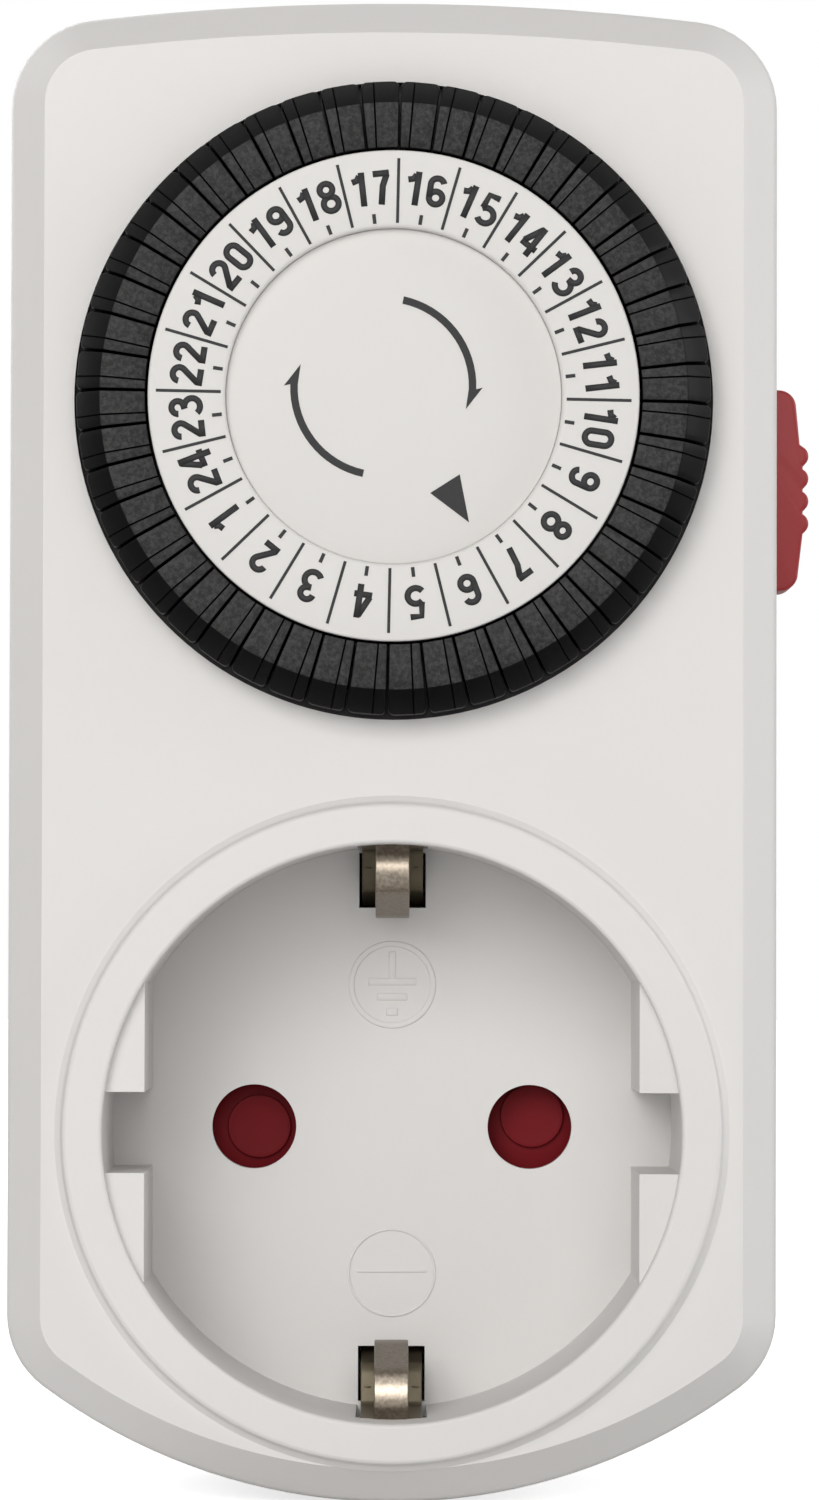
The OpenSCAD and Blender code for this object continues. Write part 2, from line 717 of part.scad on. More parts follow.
// The space inside the plug, less a gap all round.
module plug_space(gap = 0) {
    side = notch_x - plug_wall - gap;
    groove = earth_groove_z - plug_wall - gap;
    difference() {
        circle(plug_r - plug_wall - gap);
        for (sx = [-1, 1]) scale([sx, 1])
            translate([side, -notch_z - plug_wall - gap])
                square([plug_r, 2 * (notch_z + plug_wall + gap)]);
        for (sz = [-1, 1]) scale([1, sz])
            translate([-earth_groove_w / 2 - plug_wall - gap, groove])
                square([earth_groove_w + 2 * (plug_wall + gap), plug_r]);
    }
}

module lip() {
    difference() {
        body_slice(y_part - lip_reach, y_in_back + 0.5, side_wall + slip, side_wall + slip);
        body_slice(y_part - lip_reach - 1, y_in_back + 1, side_wall + lip_t, side_wall + lip_t);
        for (x = [-corner_x, corner_x])
            rod_y(boss_r + 2 * slip, y_part - lip_reach - 1, y_part, x, corner_low_z);
        block(slide_x0 - 1, half_w, y_part - lip_reach - 1, y_part,
            slide_low_z - slide_travel - 1, slide_high_z + 1);
    }
}

// The hole for a housing screw, with the sunk seat of its head.
module screw_hole() {
    rod_y(screw_r + 2 * run_fit, y_plate, y_head + 0.5);
    rod_y(screw_head_r + slip, y_head, y_back + 1);
}

module rear_shell() {
    difference() {
        union() {
            body_slice(y_part, y_back - back_bevel, 0, 0);
            body_slice(y_back - back_bevel, y_back, 0, back_bevel);
        }
        body_slice(y_part - 1, y_in_back, side_wall + 2 * slip, side_wall + 2 * slip);
        screw_places() screw_hole();
    }
}

module rear_bosses() {
    screw_places() difference() {
        rod_y(rear_boss_r, y_part, y_in_back + 1);
        screw_hole();
    }
    for (x = [-corner_x, corner_x]) translate([x, 0, corner_top_z]) difference() {
        rod_y(clamp_boss_r, y_plate_back, y_part + 1);
        screw_hole();
    }
}

module rear_cover() {
    color("gainsboro") difference() {
        union() {
            rear_shell();
            rear_bosses();
            lip();
            block(slide_x0 + 0.2, slide_x1, slide_y1 + 4 * slip + 0.2, y_in_back + 1,
                rail_low_z, rail_high_z);
            along_y(y_back - 1, 0) plug_shape();
        }
        along_y(y_in_back - 1, -plug_face_t) plug_space();
        for (x = [-pin_x, pin_x]) {
            rod_y(pin_r - pin_step + run_fit, -plug_face_t - 1, 1, x);
            rod_y(pin_seat_r, -pin_seat_depth, 1, x);
        }
        block(slide_x0 - 1, in_x, slide_y0, slide_y1 + 5 * slip,
            slide_low_z - slide_travel - 1, slide_high_z + 1);
        for (sz = [-1, 1]) scale([1, 1, sz])
            block(-earth_groove_w / 2, earth_groove_w / 2, y_in_back - 1, y_back + 1,
                earth_groove_z, earth_groove_z + strip_t + 2 * slip);
    }
}

module housing_screws() {
    color("silver") screw_places() difference() {
        union() {
            rod_y(screw_head_r, y_head, y_head + screw_head_h);
            rod_y(screw_r, y_plate - screw_bite, y_head + 0.5);
        }
        block(-screw_head_r - 1, screw_head_r + 1, y_head + screw_head_h - 0.8,
            y_head + screw_head_h + 1, -screw_slot_w / 2, screw_slot_w / 2);
    }
}

// ---- Dial ----

module mechanism_plate() {
    color("slategray") difference() {
        union() {
            intersection() {
                body_slice(y_plate, y_plate_back, side_wall + 0.5, side_wall + 0.5);
                block(-half_w, half_w, y_plate - 1, y_plate_back + 1, plate_low_z, housing_top);
            }
            at_ear() rod_y(ear_r, y_plate, y_plate_back);
            block(-ear_x - ear_web_half, -ear_x + ear_web_half, y_plate, y_plate_back,
                ear_z, plate_low_z + 1);
            rod_y(post_r, y_disc_back, y_plate + 1, 0, dial_z);
        }
        rod_y(stem_r + run_fit, y_disc_back - 1, y_disc_back + stem_length + 0.5, 0, dial_z);
        rod_y(axle_r, y_plate - 1, y_plate_back + 1, idler_x, idler_z);
        rod_y(motor_pinion_r + addendum + 0.4, y_plate - 1, y_plate_back + 1, motor_x, motor_z);
        screw_places() rod_y(screw_r + 0.2, y_plate - 1, y_plate_back + 1);
        at_ear() rod_y(motor_screw_r + slip, y_plate - 1, y_plate_back + 1);
        motor_screw_places() rod_y(motor_screw_r, y_plate - 1, y_plate_back + 1);
    }
}

// The small screw in the plate's ear, with its head at the back.
module plate_screw() {
    color("silver") at_ear() {
        y_top = y_plate_back + small_head_h;
        rod_y(motor_screw_r, y_plate - small_screw_bite, y_plate_back + small_head_h / 2);
        difference() {
            rod_y(small_head_r, y_plate_back, y_top);
            block(-small_head_r - 1, small_head_r + 1, y_top - small_slot_h, y_top + 1,
                -small_slot_w / 2, small_slot_w / 2);
        }
    }
}

// Children are drawn at each half hour's middle, turned so that +X points outwards.
module at_half_hour(i) {
    translate([0, 0, dial_z]) rotate([0, dial_phase + half_hour * (i + 0.5) - 90, 0]) children();
}

module dial_carrier() {
    sleeve_in = number_ring_r + slip - sleeve_t;
    color([0.16, 0.16, 0.17]) difference() {
        union() {
            rod_y(web_r, y_web, y_web_back, 0, dial_z);
            rod_y(number_ring_r + slip, y_dial + number_ring_t, y_web + 1, 0, dial_z);
            gear(dial_teeth, y_gear, y_gear_back, 0, dial_z, idler_angle);
            rod_y(hub_r + gear_shoulder, y_web_back - 1, y_gear + 1, 0, dial_z);
        }
        rod_y(sleeve_in, y_dial, y_web, 0, dial_z);
        for (i = [0 : tripper_count - 1]) at_half_hour(i)
            block(stem_in - slip, stem_in + stem_w + slip, y_web - 1, y_web_back + 1,
                -stem_b / 2 - slip, stem_b / 2 + slip);
        rod_y(hub_r - 0.5, y_dial, y_plate, 0, dial_z);
    }
    color([0.16, 0.16, 0.17]) difference() {
        rod_y(hub_r, y_disc_back + 2 * slip, y_plate - 2 * slip, 0, dial_z);
        rod_y(post_r + run_fit, y_dial, y_plate + 1, 0, dial_z);
    }
}

module number_ring() {
    color("white") difference() {
        rod_y(number_ring_r, y_dial, y_dial + number_ring_t, 0, dial_z);
        rod_y(number_ring_in, y_dial - 1, y_dial + number_ring_t + 1, 0, dial_z);
    }
}

module centre_disc() {
    color("white") {
        rod_y(centre_disc_r, y_disc, y_disc_back, 0, dial_z);
        rod_y(stem_r, y_disc + 0.5, y_disc_back + stem_length, 0, dial_z);
    }
}

// One half hour's tripper: a wedge-shaped head and a flat stem.
module tripper_piece(i) {
    gap_angle = head_gap / head_out * 180 / PI;
    middle = 90 - dial_phase - half_hour * (i + 0.5);
    turned_y([[head_in, y_dial], [head_flat_r, y_dial], [head_out, y_dial + head_chamfer],
        [head_out, y_head_back], [head_in, y_head_back]], 0, dial_z,
        middle - (half_hour - gap_angle) / 2, half_hour - gap_angle);
    at_half_hour(i) block(stem_in, stem_in + stem_w, y_head_back - 0.5, y_stem_end,
        -stem_b / 2, stem_b / 2);
}

// The two half-hour trippers of one hour. The hour's number falls as the dial is read clockwise.
module tripper(hour) {
    first = 2 * ((16 - hour + 24) % 24);
    color([0.13, 0.13, 0.14]) for (i = [first, first + 1]) tripper_piece(i);
}

// ---- Drive ----

module idler_gear() {
    color("ivory") difference() {
        union() {
            gear(idler_pinion_teeth, y_gear, y_wheel + 0.5, idler_x, idler_z,
                idler_angle + 180 + 180 / idler_pinion_teeth);
            gear(idler_wheel_teeth, y_wheel, y_wheel_back, idler_x, idler_z, 0);
        }
        rod_y(axle_r + run_fit, y_gear - 1, y_wheel_back + 1, idler_x, idler_z);
    }
}

module idler_axle() {
    color("silver") {
        rod_y(axle_r, y_gear - 4 * slip, y_plate_back, idler_x, idler_z);
        rod_y(axle_r + collar_w, y_gear - 5 * slip, y_gear - slip, idler_x, idler_z);
        rod_y(axle_r + collar_w, y_wheel_back + slip, y_plate, idler_x, idler_z);
    }
}

module motor_pinion() {
    color("goldenrod") {
        gear(motor_teeth, y_wheel, y_wheel_back, motor_x, motor_z, 180 + 180 / motor_teeth);
        rod_y(shaft_r, y_wheel_back - 0.5, y_can + shaft_reach, motor_x, motor_z);
    }
}

module motor_end_plate() {
    color("silver") difference() {
        rod_y(can_r, y_plate_back, y_can, 0, dial_z);
        rod_y(shaft_r + run_fit, y_plate_back - 1, y_can + 1, motor_x, motor_z);
        motor_screw_places() rod_y(motor_screw_r, y_plate_back - 1, y_can + 1);
    }
}

module motor_screw_places() {
    for (x = [-motor_screw_x, motor_screw_x])
        translate([x, 0, dial_z - motor_screw_drop]) children();
}

module motor_can() {
    color("silver") difference() {
        turned_y([[0, y_can], [can_r, y_can], [can_r, y_can_back - can_edge],
            [can_r - can_edge, y_can_back], [0, y_can_back]], 0, dial_z);
        rod_y(shaft_r + 3 * slip, y_can - 1, y_can + shaft_reach + 0.5, motor_x, motor_z);
        motor_screw_places() rod_y(motor_screw_r, y_can - 1, y_can + motor_screw_depth);
    }
}

module motor_screws() {
    color("silver") motor_screw_places() {
        y_top = y_plate - small_head_h;
        rod_y(motor_screw_r, y_plate - small_head_h / 2, y_can + motor_screw_depth);
        difference() {
            rod_y(small_head_r, y_top, y_plate);
            block(-small_head_r - 1, small_head_r + 1, y_top - 1, y_top + small_slot_h,
                -small_slot_w / 2, small_slot_w / 2);
        }
    }
}

// ---- Switch ----

module follower_lever() {
    color("ivory") difference() {
        union() {
            block(-pivot_x, finger_x + finger_w / 2, y_lever_back - lever_t, y_lever_back,
                lever_z, lever_top_z);
            translate([-pivot_x, y_pivot, lever_z]) cylinder(r = pivot_boss_r, h = lever_h);
            block(nose_x - nose_w / 2, nose_x + nose_w / 2, y_nose, y_lever_back,
                lever_z, nose_z + stem_w / 2);
            block(finger_x - finger_w / 2, finger_x + finger_w / 2, y_lever_back - 0.5,
                y_tab_back, lever_z, lever_top_z);
            block(finger_x - finger_w / 2, arm_x + tab_reach, y_tab_back - 1, y_tab_back,
                lever_z, lever_top_z);
        }
        translate([-pivot_x, y_pivot, lever_z - 1])
            cylinder(r = pivot_r + run_fit, h = lever_h + 2);
    }
}

module lever_pin() {
    color("silver") translate([-pivot_x, y_pivot, lug_low_z - lug_t + pin_clamp])
        cylinder(r = pivot_r, h = lever_top_z - lug_low_z + 2 * lug_t);
}

// A torsion spring round the pivot pin, under the follower.
module lever_spring() {
    coil_r = pivot_r + 2 * spring_wire_r + 0.3;
    low = lug_low_z + spring_wire_r + slip;
    high = lever_z - spring_wire_r - slip;
    steps = 12 * spring_turns;
    coil = [for (i = [0 : steps]) [-pivot_x + coil_r * cos(30 * i),
        y_pivot + coil_r * sin(30 * i), low + (high - low) * i / steps]];
    color("silver") wire(concat([[-pivot_x + coil_r, y_pivot - spring_leg_front, low]], coil,
        [[-pivot_x + coil_r, y_pivot + spring_leg_back, high]]), spring_wire_r, [0, 0, 1], 6);
}

module moving_contact() {
    color("goldenrod") {
        block(blade_root_x, blade_end_x, y_blade, y_blade_back, lever_z,
            lever_top_z + blade_rise);
        translate([blade_root_x, y_blade + blade_t / 2, lever_z])
            cylinder(r = blade_root_r, h = lever_h + blade_rise);
        rod_y(rivet_r, y_blade_back - 0.1, y_blade_back + rivet_h, rivet_x,
            lever_z + lever_h / 2);
    }
}

// The fixed contact is one strip with the strap to the live pin.
module fixed_contact() {
    color("goldenrod") {
        rod_y(rivet_r, y_fixed_rivet, y_carrier_back + 0.3, rivet_x, lever_z + lever_h / 2);
        block(strap_x, rivet_x + rivet_r + 0.5, y_carrier_back, y_strip_back,
            lever_z - 1, lever_top_z + 0.8);
        block(strap_x, strap_x + 3, y_carrier_back, y_strip_back, -strap_half, lever_z);
        pin_strap(1);
    }
}

// The strap from the contacts' plane back to a pin's stem; side is 1 on the right.
module pin_strap(side) {
    scale([side, 1, 1]) difference() {
        union() {
            block(strap_x, strap_x + strip_t, y_carrier_back, y_strap_back,
                -strap_half, strap_half);
            block(pin_x - clip_half_x, strap_x + strip_t, y_strap, y_strap_back,
                -strap_half - 1, strap_half + 1);
        }
        rod_y(pin_stem_r + run_fit, y_strap - 1, y_strap_back + 1, pin_x);
    }
}

// ---- Override slide ----

module override_slide() {
    color("firebrick") {
        block(slide_x0, slide_x1, slide_y0, slide_y1, slide_low_z, slide_high_z);
        block(slide_x1 - 0.5, half_w + knob_rise, knob_y0, knob_y1, knob_low_z, knob_high_z);
        for (i = [0 : knob_teeth - 1]) {
            z = knob_z + tooth_pitch * (knob_teeth / 2 - i - 0.5);
            translate([half_w + tooth_rise - tooth_r, knob_y0, z]) rotate([-90, 0, 0])
                cylinder(r = tooth_r, h = knob_depth);
        }
        block(arm_x, slide_x1, arm_y0, arm_y0 + arm_t, arm_z, arm_z + arm_h);
        block(slide_x0, slide_x1, arm_y0, slide_y1, arm_z + arm_step, arm_z + arm_h);
    }
}

// A bowed leaf between the rear cover's rib and the slide.
module slide_spring() {
    y0 = slide_y1 + slip;
    bow = 2 * slip;
    color("silver") translate([slide_x0 + 0.3, 0, 0]) rotate([90, 0, 90])
        linear_extrude(slide_t - 0.7) polygon([[y0 + bow, rail_low_z + 0.5],
            [y0, knob_z + 1], [y0 + bow, rail_high_z - 0.5],
            [y0 + bow + spring_leaf_t, rail_high_z - 0.5],
            [y0 + spring_leaf_t, knob_z + 1],
            [y0 + bow + spring_leaf_t, rail_low_z + 0.5]]);
}

// ---- Contacts ----

module shutter() {
    color([0.45, 0.08, 0.1]) difference() {
        union() {
            for (x = [-pin_x, pin_x]) {
                rod_y(shutter_lobe_r, y_shutter, y_shutter_back, x);
                rod_y(shutter_boss_r, y_shutter - shutter_boss_h, y_shutter + 0.5, x);
            }
            block(-pin_x, pin_x, y_shutter, y_shutter_back, -shutter_bar_half, shutter_bar_half);
            rod_y(shutter_lobe_r, y_shutter, y_shutter_back);
        }
        rod_y(shutter_pivot_r + run_fit, y_shutter - 1, y_shutter_back + 1);
    }
}

module contact_carrier() {
    color("dimgray") difference() {
        union() {
            rod_y(carrier_r, y_carrier, y_carrier_back);
            rod_y(shutter_pivot_r, y_shutter + 0.2, y_carrier + 1);
        }
        for (x = [-pin_x, pin_x]) rod_y(pin_hole_r + 0.3, y_carrier - 1, y_carrier_back + 1, x);
        for (sz = [-1, 1]) scale([1, 1, sz])
            block(-earth_slot_w / 2, earth_slot_w / 2, y_carrier - 1, y_carrier_back + 1,
                earth_slot_in, carrier_r + 1);
    }
}

// One turn of wire round the shutter's pivot, with a leg to each side.
module shutter_spring() {
    coil_r = shutter_pivot_r + 1;
    y = (y_shutter_back + y_carrier) / 2;
    color("silver") wire(concat([[coil_r + 0.2, y, -5]],
        [for (i = [0 : 11]) [coil_r * cos(30 * i), y, coil_r * sin(30 * i)]]),
        spring_wire_r, [0, 1, 0], 6);
}

// A base on the carrier with two leaves, above and below the pin.
module pin_clip(side) {
    scale([side, 1, 1]) {
        difference() {
            block(pin_x - clip_half_x, pin_x + clip_half_x, y_carrier_back, y_strip_back,
                -clip_half_z, clip_half_z);
            rod_y(pin_hole_r, y_carrier_back - 1, y_strip_back + 1, pin_x);
        }
        for (sz = [-1, 1]) scale([1, 1, sz])
            block(pin_x - leaf_w / 2, pin_x + leaf_w / 2, y_strip_back - 0.3,
                y_strip_back + leaf_length, leaf_z + 0.35, leaf_z + 0.35 + strip_t);
    }
}

module live_socket_contact() {
    riser_x = pin_x - clip_half_x;
    color("goldenrod") {
        pin_clip(1);
        block(riser_x, riser_x + riser_w, y_carrier_back, y_strip_back, 3.5, lever_z + lever_h);
        block(blade_root_x - blade_root_r - post_gap - strip_t, riser_x + riser_w,
            y_carrier_back, y_strip_back, lever_z, lever_top_z);
        block(blade_root_x - blade_root_r - post_gap - strip_t,
            blade_root_x - blade_root_r - post_gap, y_blade - 0.6, y_strip_back,
            lever_z, lever_top_z);
    }
}

module neutral_socket_contact() {
    color("goldenrod") {
        pin_clip(-1);
        block(-strap_x - strip_t, -pin_x - 2.5, y_carrier_back, y_strip_back,
            -strap_half, strap_half);
        pin_strap(-1);
    }
}

// The socket's earth fingers: one bent strip that crosses behind the carrier.
module earth_fingers() {
    root_z = carrier_r;
    tip_y = y_rim + finger_tip_set;
    bend_y = tip_y + finger_bend;
    color("silver") {
        block(-earth_half, earth_half, y_carrier_back, y_strip_back, -root_z, root_z);
        for (sz = [-1, 1]) scale([1, 1, sz]) {
            block(-earth_half, earth_half, y_floor - 1.5, y_strip_back, root_z - strip_t, root_z);
            translate([-finger_earth_w / 2, 0, 0]) rotate([90, 0, 90])
                linear_extrude(finger_earth_w) polygon([[y_floor, root_z],
                    [y_floor, root_z - strip_t], [bend_y, finger_grip_z],
                    [tip_y, finger_grip_z + finger_lift],
                    [tip_y, finger_grip_z + finger_lift + strip_t],
                    [bend_y + 0.2, finger_grip_z + strip_t]]);
        }
    }
}

// The plug's side earth contacts: a second strip, against the first, that lies in the grooves.
module plug_earth_contacts() {
    z1 = earth_groove_z + slip + strip_t;
    color("silver") {
        block(-earth_half, earth_half, y_strip_back, y_strip_back + strip_t, -z1, z1);
        for (sz = [-1, 1]) scale([1, 1, sz])
            block(-earth_half, earth_half, y_strip_back, -plug_earth_end, z1 - strip_t, z1);
    }
}

module plug_pin(x) {
    color("silver") {
        cone_y(pin_r, pin_r - 1, pin_length - pin_tip, pin_length, x);
        rod_y(pin_r, -pin_seat_depth, pin_length - pin_tip, x);
        rod_y(pin_r - pin_step, y_flange - 0.5, 0.5, x);
        rod_y(pin_flange_r, y_insert, y_flange, x);
        rod_y(pin_stem_r, y_stem_head + 0.4, y_insert + 0.5, x);
        cone_y(pin_stem_r + 0.1, pin_stem_r + 0.6, y_stem_head, y_strap, x);
    }
}

module live_pin() { plug_pin(pin_x); }

module neutral_pin() { plug_pin(-pin_x); }

module plug_insert() {
    color("dimgray") along_y(y_strap_back, y_insert) difference() {
        plug_space(slip);
        for (x = [-pin_x, pin_x]) translate([x, 0]) circle(pin_stem_r + run_fit);
    }
}

// ---- Motor leads ----

// A lead leaves the can at its side, turns down at two points and ends at a solder spot.
module motor_lead(side, turns, spot_x, spot_z, steps) {
    y_spot = y_strip_back + lead_r + slip;
    at = [for (t = turns) [t[0], y_lead + t[1], t[2]]];
    wire(concat(line_points([side * lead_exit_x, y_lead, lead_exit_z], at[0], 3),
        line_points(at[1], [spot_x, y_spot, spot_z], steps)), lead_r, [0, 1, 0.3]);
}

module motor_lead_live() {
    color("brown") motor_lead(1, live_turns, strap_x + 2.4, live_spot_z, 4);
}

module motor_lead_neutral() {
    color("steelblue") motor_lead(-1, neutral_turns, -strap_x - strip_t + 0.2, neutral_spot_z, 8);
}

front_cover();
rear_cover();
housing_screws();
mechanism_plate();
plate_screw();
dial_carrier();
number_ring();
centre_disc();
idler_gear();
idler_axle();
motor_can();
motor_end_plate();
motor_pinion();
motor_screws();
motor_lead_live();
motor_lead_neutral();
follower_lever();
lever_pin();
lever_spring();
moving_contact();
fixed_contact();
override_slide();
slide_spring();
shutter();
shutter_spring();
contact_carrier();
live_socket_contact();
neutral_socket_contact();
earth_fingers();
plug_earth_contacts();
live_pin();
neutral_pin();
plug_insert();
for (h = hours) tripper(h);
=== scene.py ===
import math

import bmesh
import bpy
from mathutils import Matrix, Vector


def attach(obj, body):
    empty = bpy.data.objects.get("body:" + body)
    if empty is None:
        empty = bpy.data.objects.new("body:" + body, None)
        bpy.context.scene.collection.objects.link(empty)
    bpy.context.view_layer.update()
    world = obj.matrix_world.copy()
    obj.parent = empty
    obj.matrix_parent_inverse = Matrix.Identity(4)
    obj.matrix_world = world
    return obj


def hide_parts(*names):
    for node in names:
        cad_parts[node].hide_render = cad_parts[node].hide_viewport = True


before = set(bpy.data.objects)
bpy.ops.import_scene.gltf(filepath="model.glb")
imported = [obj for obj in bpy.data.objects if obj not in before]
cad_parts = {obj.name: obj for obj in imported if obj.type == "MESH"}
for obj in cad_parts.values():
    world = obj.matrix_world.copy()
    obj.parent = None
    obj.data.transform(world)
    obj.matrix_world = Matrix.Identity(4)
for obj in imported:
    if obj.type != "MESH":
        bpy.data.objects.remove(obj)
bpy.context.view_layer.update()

# ---- Rear cover and plug ----
# The back half of the housing, with the plug's round body in one piece with it. It is a pale
# warm grey moulding with a fine spark-eroded grain, and four sunk screws hold it to the front.

MM = 0.001


def compass(bm, last, centre, degrees, steps):
    """Swings a vertex round a centre (x, z), anticlockwise from the front: gives the arc's end."""
    arc = bmesh.ops.spin(bm, geom=[last], cent=(centre[0], last.co.y, centre[1]),
                         axis=(0, -1, 0), dvec=(0, 0, 0), angle=math.radians(degrees),
                         steps=steps, use_merge=False, use_normal_flip=False,
                         use_duplicate=False)
    return arc["geom_last"][0]


def ruler(bm, last, x, z):
    """Draws a straight edge from a vertex to (x, z), and gives its end."""
    tip = bmesh.ops.extrude_vert_indiv(bm, verts=[last])["verts"][0]
    tip.co = (x, last.co.y, z)
    return tip


def once(items):
    """The items in their own order, each of them once."""
    return list(dict.fromkeys(items))


def around(faces):
    """Some faces with their edges and corners, for a cut."""
    edges = [e for f in faces for e in f.edges]
    corners = [v for f in faces for v in f.verts]
    return once([*faces, *edges, *corners])


def ordered(bm):
    """Puts a mesh's corners, edges and faces in one fixed order, by their places."""
    for items, place in ((bm.verts, lambda v: [round(c, 3) for c in v.co]),
                         (bm.edges, lambda e: sorted(v.index for v in e.verts)),
                         (bm.faces, lambda f: sorted(v.index for v in f.verts))):
        rank = {item: number for number, item in enumerate(sorted(items, key=place))}
        items.sort(key=lambda item: rank[item])
        items.index_update()


def rounded(bm, edges, width, segments=3):
    """Rounds edges by a width, as a mould's corners are."""
    return bmesh.ops.bevel(bm, geom=edges, offset=width, offset_type="OFFSET",
                           segments=segments, profile=0.5, affect="EDGES",
                           clamp_overlap=True, loop_slide=True, material=-1)


def along(edges, y):
    """Those of some edges that lie in the plane at y."""
    return [e for e in edges if all(abs(v.co.y - y) < 0.01 for v in e.verts)]


def circle_edges(bm, radius, y, x=0.0, z=0.0, segments=48):
    """A circle of edges round an axis along Y."""
    place = Matrix.Translation((x, y, z)) @ Matrix.Rotation(math.pi / 2, 4, "X")
    made = bmesh.ops.create_circle(bm, cap_ends=False, segments=segments, radius=radius,
                                   matrix=place)
    return once(e for v in made["verts"] for e in v.link_edges)


def pushed(bm, edges, dy):
    """Draws edges back by dy as a wall, and gives the wall's far edges."""
    made = bmesh.ops.extrude_edge_only(bm, edges=edges)["geom"]
    verts = [g for g in made if isinstance(g, bmesh.types.BMVert)]
    bmesh.ops.translate(bm, vec=(0, dy, 0), verts=verts)
    found = set(verts)
    return [g for g in made if isinstance(g, bmesh.types.BMEdge)
            and all(v in found for v in g.verts)]


def piece(name, bm, body, material, sharp=32):
    """Makes a finished object in metres from a mesh drawn in millimetres."""
    ordered(bm)
    bmesh.ops.scale(bm, vec=(MM, MM, MM), verts=bm.verts)
    mesh = bpy.data.meshes.new(name)
    bm.to_mesh(mesh)
    bm.free()
    mesh.shade_smooth()
    mesh.set_sharp_from_angle(angle=math.radians(sharp))
    mesh.materials.append(material)
    obj = bpy.data.objects.new(name, mesh)
    bpy.context.scene.collection.objects.link(obj)
    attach(obj, body)
    return obj


def walled(obj, thickness, edge):
    """Gives a skin its wall, drawn inwards, and breaks the wall's sharp edges."""
    wall = obj.modifiers.new("wall", "SOLIDIFY")
    wall.thickness = thickness * MM
    wall.offset = -1
    eased(obj, edge)


def eased(obj, edge):
    """Breaks an object's sharp edges by a width in mm, and shades its flats flat."""
    bevel = obj.modifiers.new("edges", "BEVEL")
    bevel.width = edge * MM
    bevel.segments = 2
    bevel.limit_method = "ANGLE"
    bevel.angle_limit = math.radians(35)
    weight = obj.modifiers.new("flats", "WEIGHTED_NORMAL")
    weight.keep_sharp = True


def speckle(material, size, detail):
    """A noise with spots of a size in mm, which stays on the piece."""
    nodes, links = material.node_tree.nodes, material.node_tree.links
    place = nodes.new("ShaderNodeTexCoord")
    noise = nodes.new("ShaderNodeTexNoise")
    noise.inputs["Scale"].default_value = 1 / (size * MM)
    noise.inputs["Detail"].default_value = detail
    links.new(place.outputs["Object"], noise.inputs["Vector"])
    return noise


def glossed(material, noise, low, high):
    """Lets a noise move the surface's roughness between two values."""
    nodes, links = material.node_tree.nodes, material.node_tree.links
    gloss = nodes.new("ShaderNodeMapRange")
    gloss.inputs["To Min"].default_value = low
    gloss.inputs["To Max"].default_value = high
    links.new(noise.outputs["Fac"], gloss.inputs["Value"])
    links.new(gloss.outputs["Result"], nodes["Principled BSDF"].inputs["Roughness"])


def grained(material, noise, strength, depth):
    """Raises a noise from the surface, by a depth in mm."""
    nodes, links = material.node_tree.nodes, material.node_tree.links
    bump = nodes.new("ShaderNodeBump")
    bump.inputs["Strength"].default_value = strength
    bump.inputs["Distance"].default_value = depth * MM
    links.new(noise.outputs["Fac"], bump.inputs["Height"])
    links.new(bump.outputs["Normal"], nodes["Principled BSDF"].inputs["Normal"])


def moulded(name, colour, roughness, clouding=0.02, grain=0.35, depth=0.012):
    """A moulded plastic: clouding shifts its colour, and grain is its texture's size in mm."""
    material = bpy.data.materials.new(name)
    material.use_nodes = True
    nodes, links = material.node_tree.nodes, material.node_tree.links
    cloud = speckle(material, 14, 4)
    tint = nodes.new("ShaderNodeMix")
    tint.data_type = "RGBA"
    tint.inputs["A"].default_value = (*[c * (1 - clouding) for c in colour], 1)
    tint.inputs["B"].default_value = (*[min(1, c * (1 + clouding)) for c in colour], 1)
    links.new(cloud.outputs["Fac"], tint.inputs["Factor"])
    links.new(tint.outputs["Result"], nodes["Principled BSDF"].inputs["Base Color"])
    texture = speckle(material, grain, 3)
    glossed(material, texture, roughness - 0.05, roughness + 0.05)
    grained(material, texture, 0.5, depth)
    return material


housing_plastic = moulded("housing_plastic", (0.66, 0.648, 0.638), 0.5)

half_w = 25.8
corner_x, corner_top, corner_low = 19.8, 68.829, -12.266
arch_top, arch_low = -98.0, 14.5
y_seam, y_heel, y_back, heel_ease = -27.0, -18.0, -17.0, 1.0
screw_head_r, screw_head_depth, screw_r, screw_depth = 2.7, 2.6, 1.5, 4.0
pin_x, pin_seat_r, pin_seat_depth, pin_bore_r = 9.5, 3.3, 0.5, 2.15


def housing_ring(bm, y, inset):
    """The housing's outline at y: two arches, four corners and two flanks."""
    before = set(bm.edges)
    side = half_w - inset
    top_turn = math.degrees(math.atan2(corner_top - arch_top, corner_x))
    low_turn = math.degrees(math.atan2(arch_low - corner_low, corner_x))
    first = bm.verts.new((side, y, corner_top))
    end = compass(bm, first, (corner_x, corner_top), top_turn, 10)
    end = compass(bm, end, (0, arch_top), 180 - 2 * top_turn, 24)
    end = compass(bm, end, (-corner_x, corner_top), top_turn, 10)
    end = ruler(bm, end, -side, corner_low)
    end = compass(bm, end, (-corner_x, corner_low), low_turn, 8)
    end = compass(bm, end, (0, arch_low), 180 - 2 * low_turn, 36)
    end = compass(bm, end, (corner_x, corner_low), low_turn, 8)
    bm.edges.new((end, first))
    return [e for e in bm.edges if e not in before]


